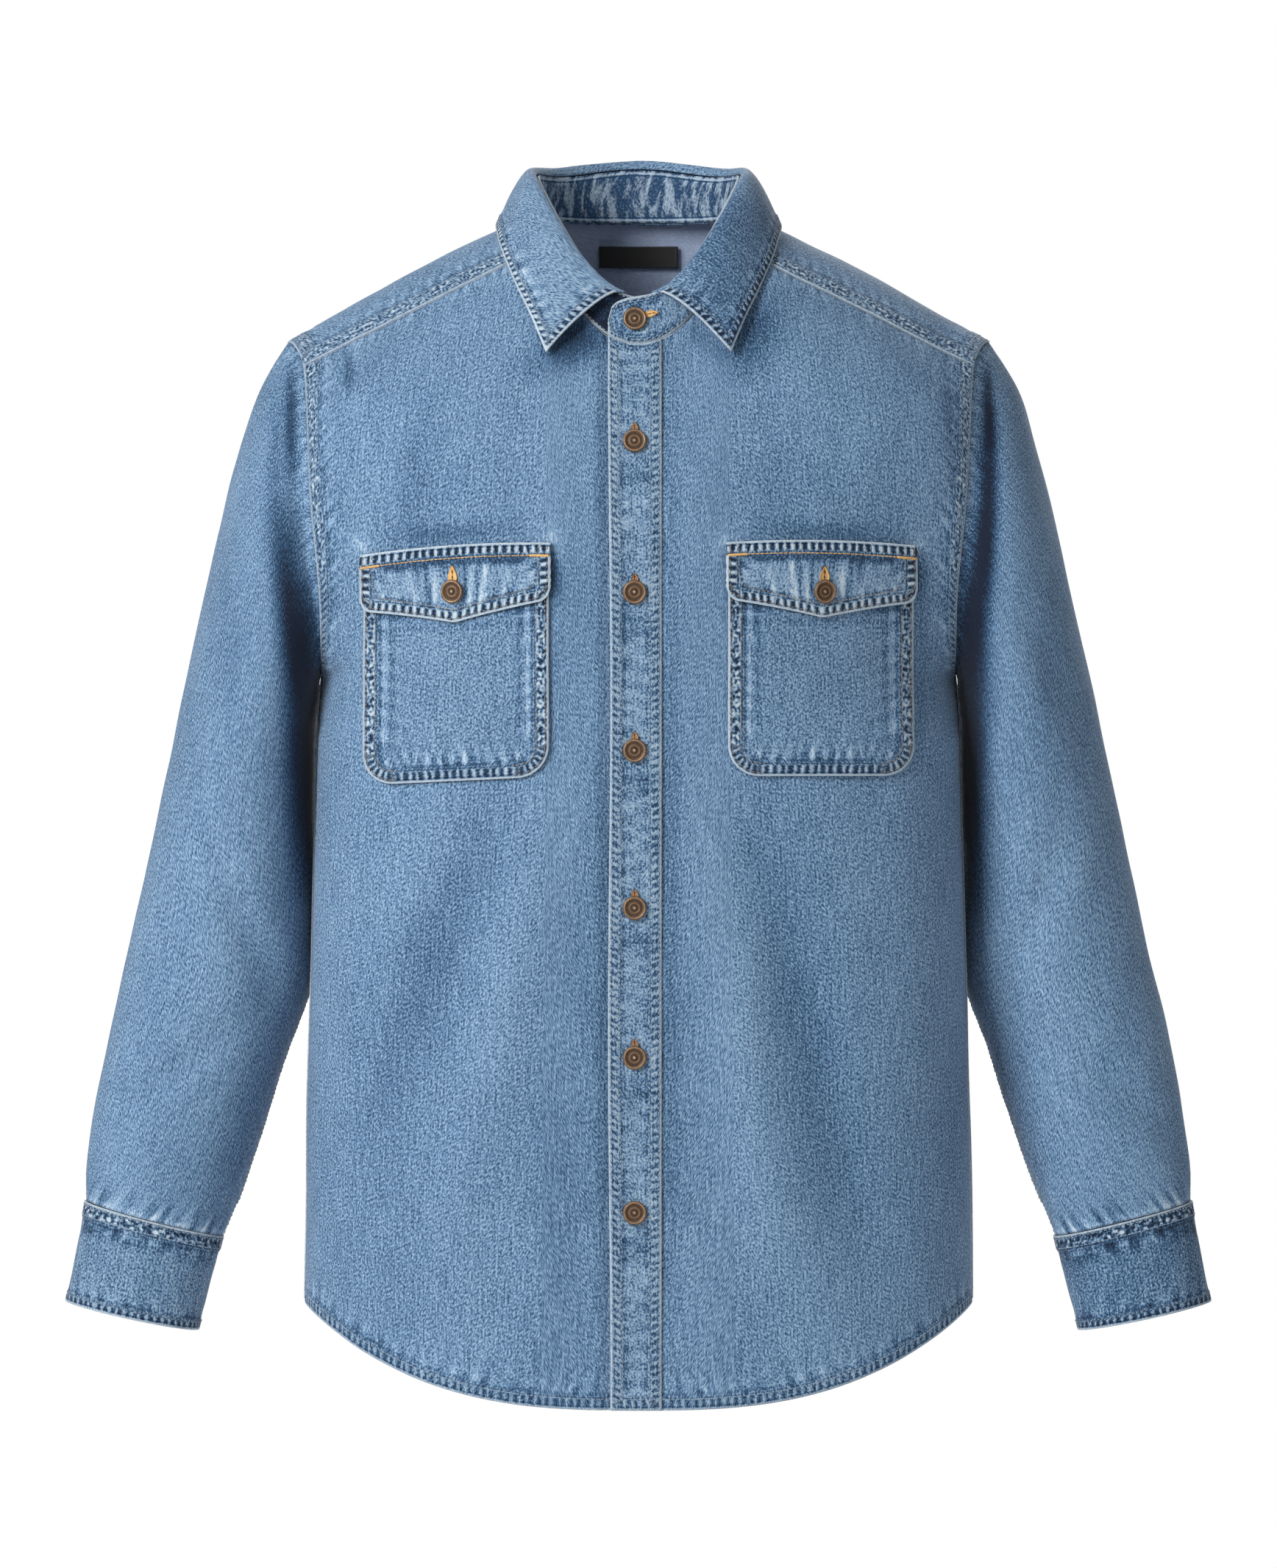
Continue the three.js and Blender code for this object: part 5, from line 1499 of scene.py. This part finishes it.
for side, label in SIDES:
    def pocket_line(away, side=side):
        """The path round a pocket at a distance from its edge, down one side and up the other."""
        half, corner = POCKET["half_width"], POCKET["corner"]
        path = [(half - away, z) for z in steps(POCKET["top"] - 2, POCKET["bottom"] + corner, 40)]
        for turn in steps(0, 90, 10)[1:]:
            reach = corner - away
            a = math.radians(turn)
            low = POCKET["bottom"] + corner - reach * math.sin(a)
            path.append((half - corner + reach * math.cos(a), low))
        path += [(-x, z) for x, z in reversed(path)]
        out = POCKET["gap"] + POCKET["wall"] + 0.05
        return [(on_front(side, x, z, out), front_normal_at(side * (POCKET["x"] + x), z)) for x, z in path]

    def flap_line(away, side=side):
        """The path round a flap at a distance from its sides and its pointed edge."""
        half = FLAP["half_width"]
        inner = (half - away) / half
        low = []
        for x in steps(half - away, -half + away, 90):
            low.append((x, flap_top(x) - flap_height(x / inner / half) + away * FLAP_ROW_LEAN))
        ends = [(half - away, z) for z in steps(flap_top(half) - 1, low[0][1], 14)[:-1]]
        path = ends + low + [(-x, z) for x, z in reversed(ends)]
        out = FLAP["stand"] + FLAP["wall"] + 0.2
        return [(on_front(side, x, z, out), front_normal_at(side * (POCKET["x"] + x), z)) for x, z in path]

    sewing = Sewing(f"pocket_{label}_stitches", "tan")
    for away in (2.4, 8.2):
        sewing.row(pocket_line(away))
        sewing.row(flap_line(away - 0.2))
    sewing.finish()
    gold = Sewing(f"flap_{label}_gold_stitches", "gold")
    half = FLAP["half_width"]
    top_row = []
    for x in steps(half - 1, 1 - half, 60):
        on_flap = on_front(side, x, flap_top(x) - FLAP_BAND, FLAP["stand"] + FLAP["wall"] + 0.1)
        top_row.append((on_flap, front_normal_at(side * (POCKET["x"] + x), FLAP["top"])))
    gold.row(top_row, rise=0.3, length=2.9, width=0.85)
    for start_at, end_at in ((0, 7), (-7, None)):
        tack = top_row[start_at:end_at]
        gold.row(tack, rise=0.3, pitch=1.2, length=2.6, width=1.9)
    gold.finish()

# Neck label: a small bare piece of black woven tape, ribbed across.
# It is sewn flat to the inside of the yoke, just below the collar stand.
LABEL = {
    "half_width": 26.75, "top": 3.6, "bottom": -10.7, "wall": 1.0, "gap": 1.5,
    "curve": 4.2, "curve_width": 40,
}
RIBS_PER_METRE = 2200
YOKE_LENGTH = 130


def yoke_inside(x, z):
    """A place on the inner side of the yoke's back."""
    reach = 0.2
    for _ in range(20):
        reach = clamp01(reach + (yoke_point(LAST_RAY, reach).z - z) / YOKE_LENGTH)
    point = yoke_point(LAST_RAY, reach)
    curve = LABEL["curve"] * (x / LABEL["curve_width"]) ** 2
    return Vector((x, point.y - curve - WALL - LABEL["gap"], point.z))


def label_seams(cloth, i, j, place):
    near = min(cloth.edges(i, j))
    return FAR, 0.0, 0.0, -0.35 * smooth((1.2 - near) / 1.2), 0.0


label_tape, start = new_material("label_tape")
cut = start.node("ShaderNodeUVMap", {"uv_map": "cut"})
ribs = start.node("ShaderNodeSeparateXYZ", {}, {0: cut}, output=1)
rib_wave = (ribs * (2 * math.pi * RIBS_PER_METRE)).sine()
lint = start.cloud(cut, 800.0, 2.0, "2D")
height = rib_wave * 0.5 + lint
bump = start.node("ShaderNodeBump", {}, {"Strength": 0.5, "Distance": 0.0003, "Height": height})
tint = (rib_wave * 0.2 + lint).ease(0.2, 1.0).mixed((0.0015, 0.0015, 0.002, 1), (0.010, 0.010, 0.012, 1))
finish_material(start, {"Roughness": 0.55, "Sheen Weight": 0.05}, {"Base Color": tint, "Normal": bump})
label_cloth = Cloth(
    "label_cloth", steps(-LABEL["half_width"], LABEL["half_width"], 60),
    steps(LABEL["top"], LABEL["bottom"], 16), yoke_inside, -1, label_seams,
)
label_cloth.dress(
    "label", label_tape, label_tape, LABEL["wall"], (0.0535, 0.0143), None, "laid", ["yoke_cloth"], "label",
)

# Buttons: turned shank buttons of antique brass, with a raised rim and a bright rivet in the middle.
# The patina is darkest in the ring groove between them and rubbed off on the rims.
BUTTON_RADIUS = 7.75
BUTTON_X = -2.5

# The turned outline: radius, height, and how far the patina is rubbed off there
BUTTON_PROFILE = (
    (0.0, 2.75, 1.0),
    (0.75, 2.7, 1.0),
    (1.25, 2.2, 0.5),
    (1.6, 1.75, 0.0),
    (2.3, 1.7, 0.1),
    (2.9, 2.05, 0.7),
    (3.5, 2.1, 0.8),
    (4.1, 1.8, 0.2),
    (4.9, 1.7, 0.15),
    (5.5, 1.85, 0.25),
    (6.0, 2.45, 0.8),
    (6.6, 2.75, 1.0),
    (7.2, 2.6, 0.9),
    (7.65, 2.1, 0.6),
    (7.75, 1.4, 0.4),
    (7.3, 0.8, 0.2),
    (5.4, 0.1, 0.0),
    (0.0, 0.0, 0.0),
)
BUTTON_STEPS = 44

brass, start = new_material("antique_brass")
rubbed = start.node("ShaderNodeAttribute", {"attribute_name": "rubbed"}, output=2)
place = start.node("ShaderNodeTexCoord", output=3)
spots = start.cloud(place, 420.0, 4.0, Roughness=0.7)
scuffs = start.cloud(place, 1600.0)
worn = (rubbed * 0.75 + spots * 0.6 + scuffs * 0.25).ease(0.35, 1.35)
patina = worn.mixed((0.040, 0.022, 0.013, 1), (0.215, 0.125, 0.066, 1))
centre = rubbed.ease(0.93, 1.0) * spots.ease(0.35, 0.6) * 0.4
patina = centre.mixed(patina, (0.72, 0.62, 0.48, 1))
height = spots + scuffs * 0.4
bump = start.node("ShaderNodeBump", {}, {"Strength": 0.35, "Distance": 0.0003, "Height": height})
fields = {"Base Color": patina, "Roughness": 0.68 - worn * 0.2, "Metallic": 0.35 + worn * 0.3, "Normal": bump}
finish_material(start, {}, fields)


def turned_button(node, place, normal):
    """A button seated at a place, with its face along the normal."""
    bm = bmesh.new()
    rubbed_layer = bm.verts.layers.float.new("rubbed")
    profile = []
    for x, y, worn_here in BUTTON_PROFILE:
        vert = bm.verts.new((x, 0, y))
        vert[rubbed_layer] = worn_here
        profile.append(vert)
    wire = [bm.edges.new(pair) for pair in zip(profile, profile[1:])]
    bmesh.ops.spin(
        bm, geom=profile + wire, cent=(0, 0, 0), axis=(0, 0, 1), angle=2 * math.pi, steps=BUTTON_STEPS,
        use_merge=True,
    )
    bmesh.ops.remove_doubles(bm, verts=bm.verts, dist=0.001)
    bmesh.ops.recalc_face_normals(bm, faces=bm.faces)
    turn = normal.to_track_quat("Z", "Y").to_matrix().to_4x4()
    matrix = Matrix.Scale(0.001, 4) @ Matrix.Translation(place) @ turn
    bmesh.ops.transform(bm, matrix=matrix, verts=bm.verts)
    for face in bm.faces:
        face.smooth = True
    piece = new_object(f"{node}_turned", bm, brass)
    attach(piece, "root")
    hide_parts(node)


# Buttonholes: keyholes worked closely in thread round a slit, gold at the collar and the flaps.
# The slit's opening is a flat face of near-black painted shadow. The end of each shows past its button.
KEYHOLE_RISE = 1.1
slit_shadow, start = new_material("slit_shadow")
frayed = start.cloud(start.node("ShaderNodeTexCoord", output=3), 2500.0)
tint = frayed.mixed((0.012, 0.014, 0.02, 1), (0.05, 0.06, 0.08, 1))
finish_material(start, {"Roughness": 0.95}, {"Base Color": tint})


def keyhole(name, place, up, normal, width, length, color="gold"):
    """A worked teardrop from its round end at the button to its tip."""
    bm = bmesh.new()
    bmesh.ops.create_circle(bm, cap_ends=True, segments=28, radius=1)
    for vert in bm.verts:
        tip = smooth((vert.co.y + 0.2) / 1.2)
        vert.co.x *= width / 2 * (1 - 0.5 * tip)
        vert.co.y *= length / 2
    raised = bmesh.ops.extrude_face_region(bm, geom=list(bm.faces))
    top = [item for item in raised["geom"] if isinstance(item, bmesh.types.BMFace)]
    bmesh.ops.translate(bm, verts=top[0].verts, vec=(0, 0, KEYHOLE_RISE))
    bmesh.ops.inset_region(bm, faces=top, thickness=width * 0.16, depth=0.0)
    bmesh.ops.translate(bm, verts=top[0].verts, vec=(0, 0, -KEYHOLE_RISE * 0.4))
    bmesh.ops.inset_region(bm, faces=top, thickness=width * 0.25, depth=0.0)
    top[0].material_index = 1
    bmesh.ops.recalc_face_normals(bm, faces=bm.faces)
    side = up.cross(normal).normalized()
    lengthways = normal.cross(side).normalized()
    turn = Matrix((side, lengthways, normal)).transposed().to_4x4()
    matrix = Matrix.Scale(0.001, 4) @ Matrix.Translation(place) @ turn
    bmesh.ops.transform(bm, matrix=matrix, verts=bm.verts)
    piece = new_object(name, bm, thread_materials[color], slit_shadow)
    bevel = piece.modifiers.new("round_edges", "BEVEL")
    bevel.width = 0.00018
    bevel.segments = 2
    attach(piece, "root")


UP = Vector((0, 0, 1))
ON_PLACKET = 1.8
for number, z in enumerate(PLACKET_BUTTONS, 1):
    normal = front_normal_at(BUTTON_X, z)
    turned_button(f"button_front_{number}", front_at(BUTTON_X, z) + normal * ON_PLACKET, normal)
    if number < len(PLACKET_BUTTONS):
        hole_z = z + BUTTON_RADIUS + 1.2
        hole_place = front_at(BUTTON_X, hole_z) + normal * (ON_PLACKET - 0.1)
        keyhole(f"buttonhole_front_{number}", hole_place, UP, normal, 4.6, 6.2, "brown")

FLAP_BUTTON = (119, -234.9)
ON_FLAP = 4.8
CUFF_BUTTON_TURN = 0.955
SEAT = 0.6
for side, label in SIDES:
    x, z = side * FLAP_BUTTON[0], FLAP_BUTTON[1]
    normal = front_normal_at(x, z)
    turned_button(f"button_flap_{label}", front_at(x, z) + normal * ON_FLAP, normal)
    hole_place = front_at(x, z + BUTTON_RADIUS + 2.4) + normal * (ON_FLAP - 0.2)
    keyhole(f"buttonhole_flap_{label}", hole_place, UP, normal, 6.4, 12.0)
    seat = cuff_point(side, CUFF_BUTTON_TURN, 0.5)
    across = cuff_point(side, CUFF_BUTTON_TURN + 0.01, 0.5) - cuff_point(side, CUFF_BUTTON_TURN - 0.01, 0.5)
    down = cuff_point(side, CUFF_BUTTON_TURN, 0.6) - cuff_point(side, CUFF_BUTTON_TURN, 0.4)
    normal = (down.cross(across) * -side).normalized()
    turned_button(f"button_cuff_{label}", seat + normal * SEAT, normal)

stand_seat = stand_point(-2, 0.52)
lean = stand_point(-2, 0.9) - stand_seat
normal = Vector((1, 0, 0)).cross(lean).normalized()
turned_button("button_collar", stand_seat + normal * SEAT, normal)
hole_place = stand_point(6.9, 0.585) + normal * 0.3
keyhole("buttonhole_collar", hole_place, Vector((1, 0, 0.2)), normal, 4.4, 9.0)
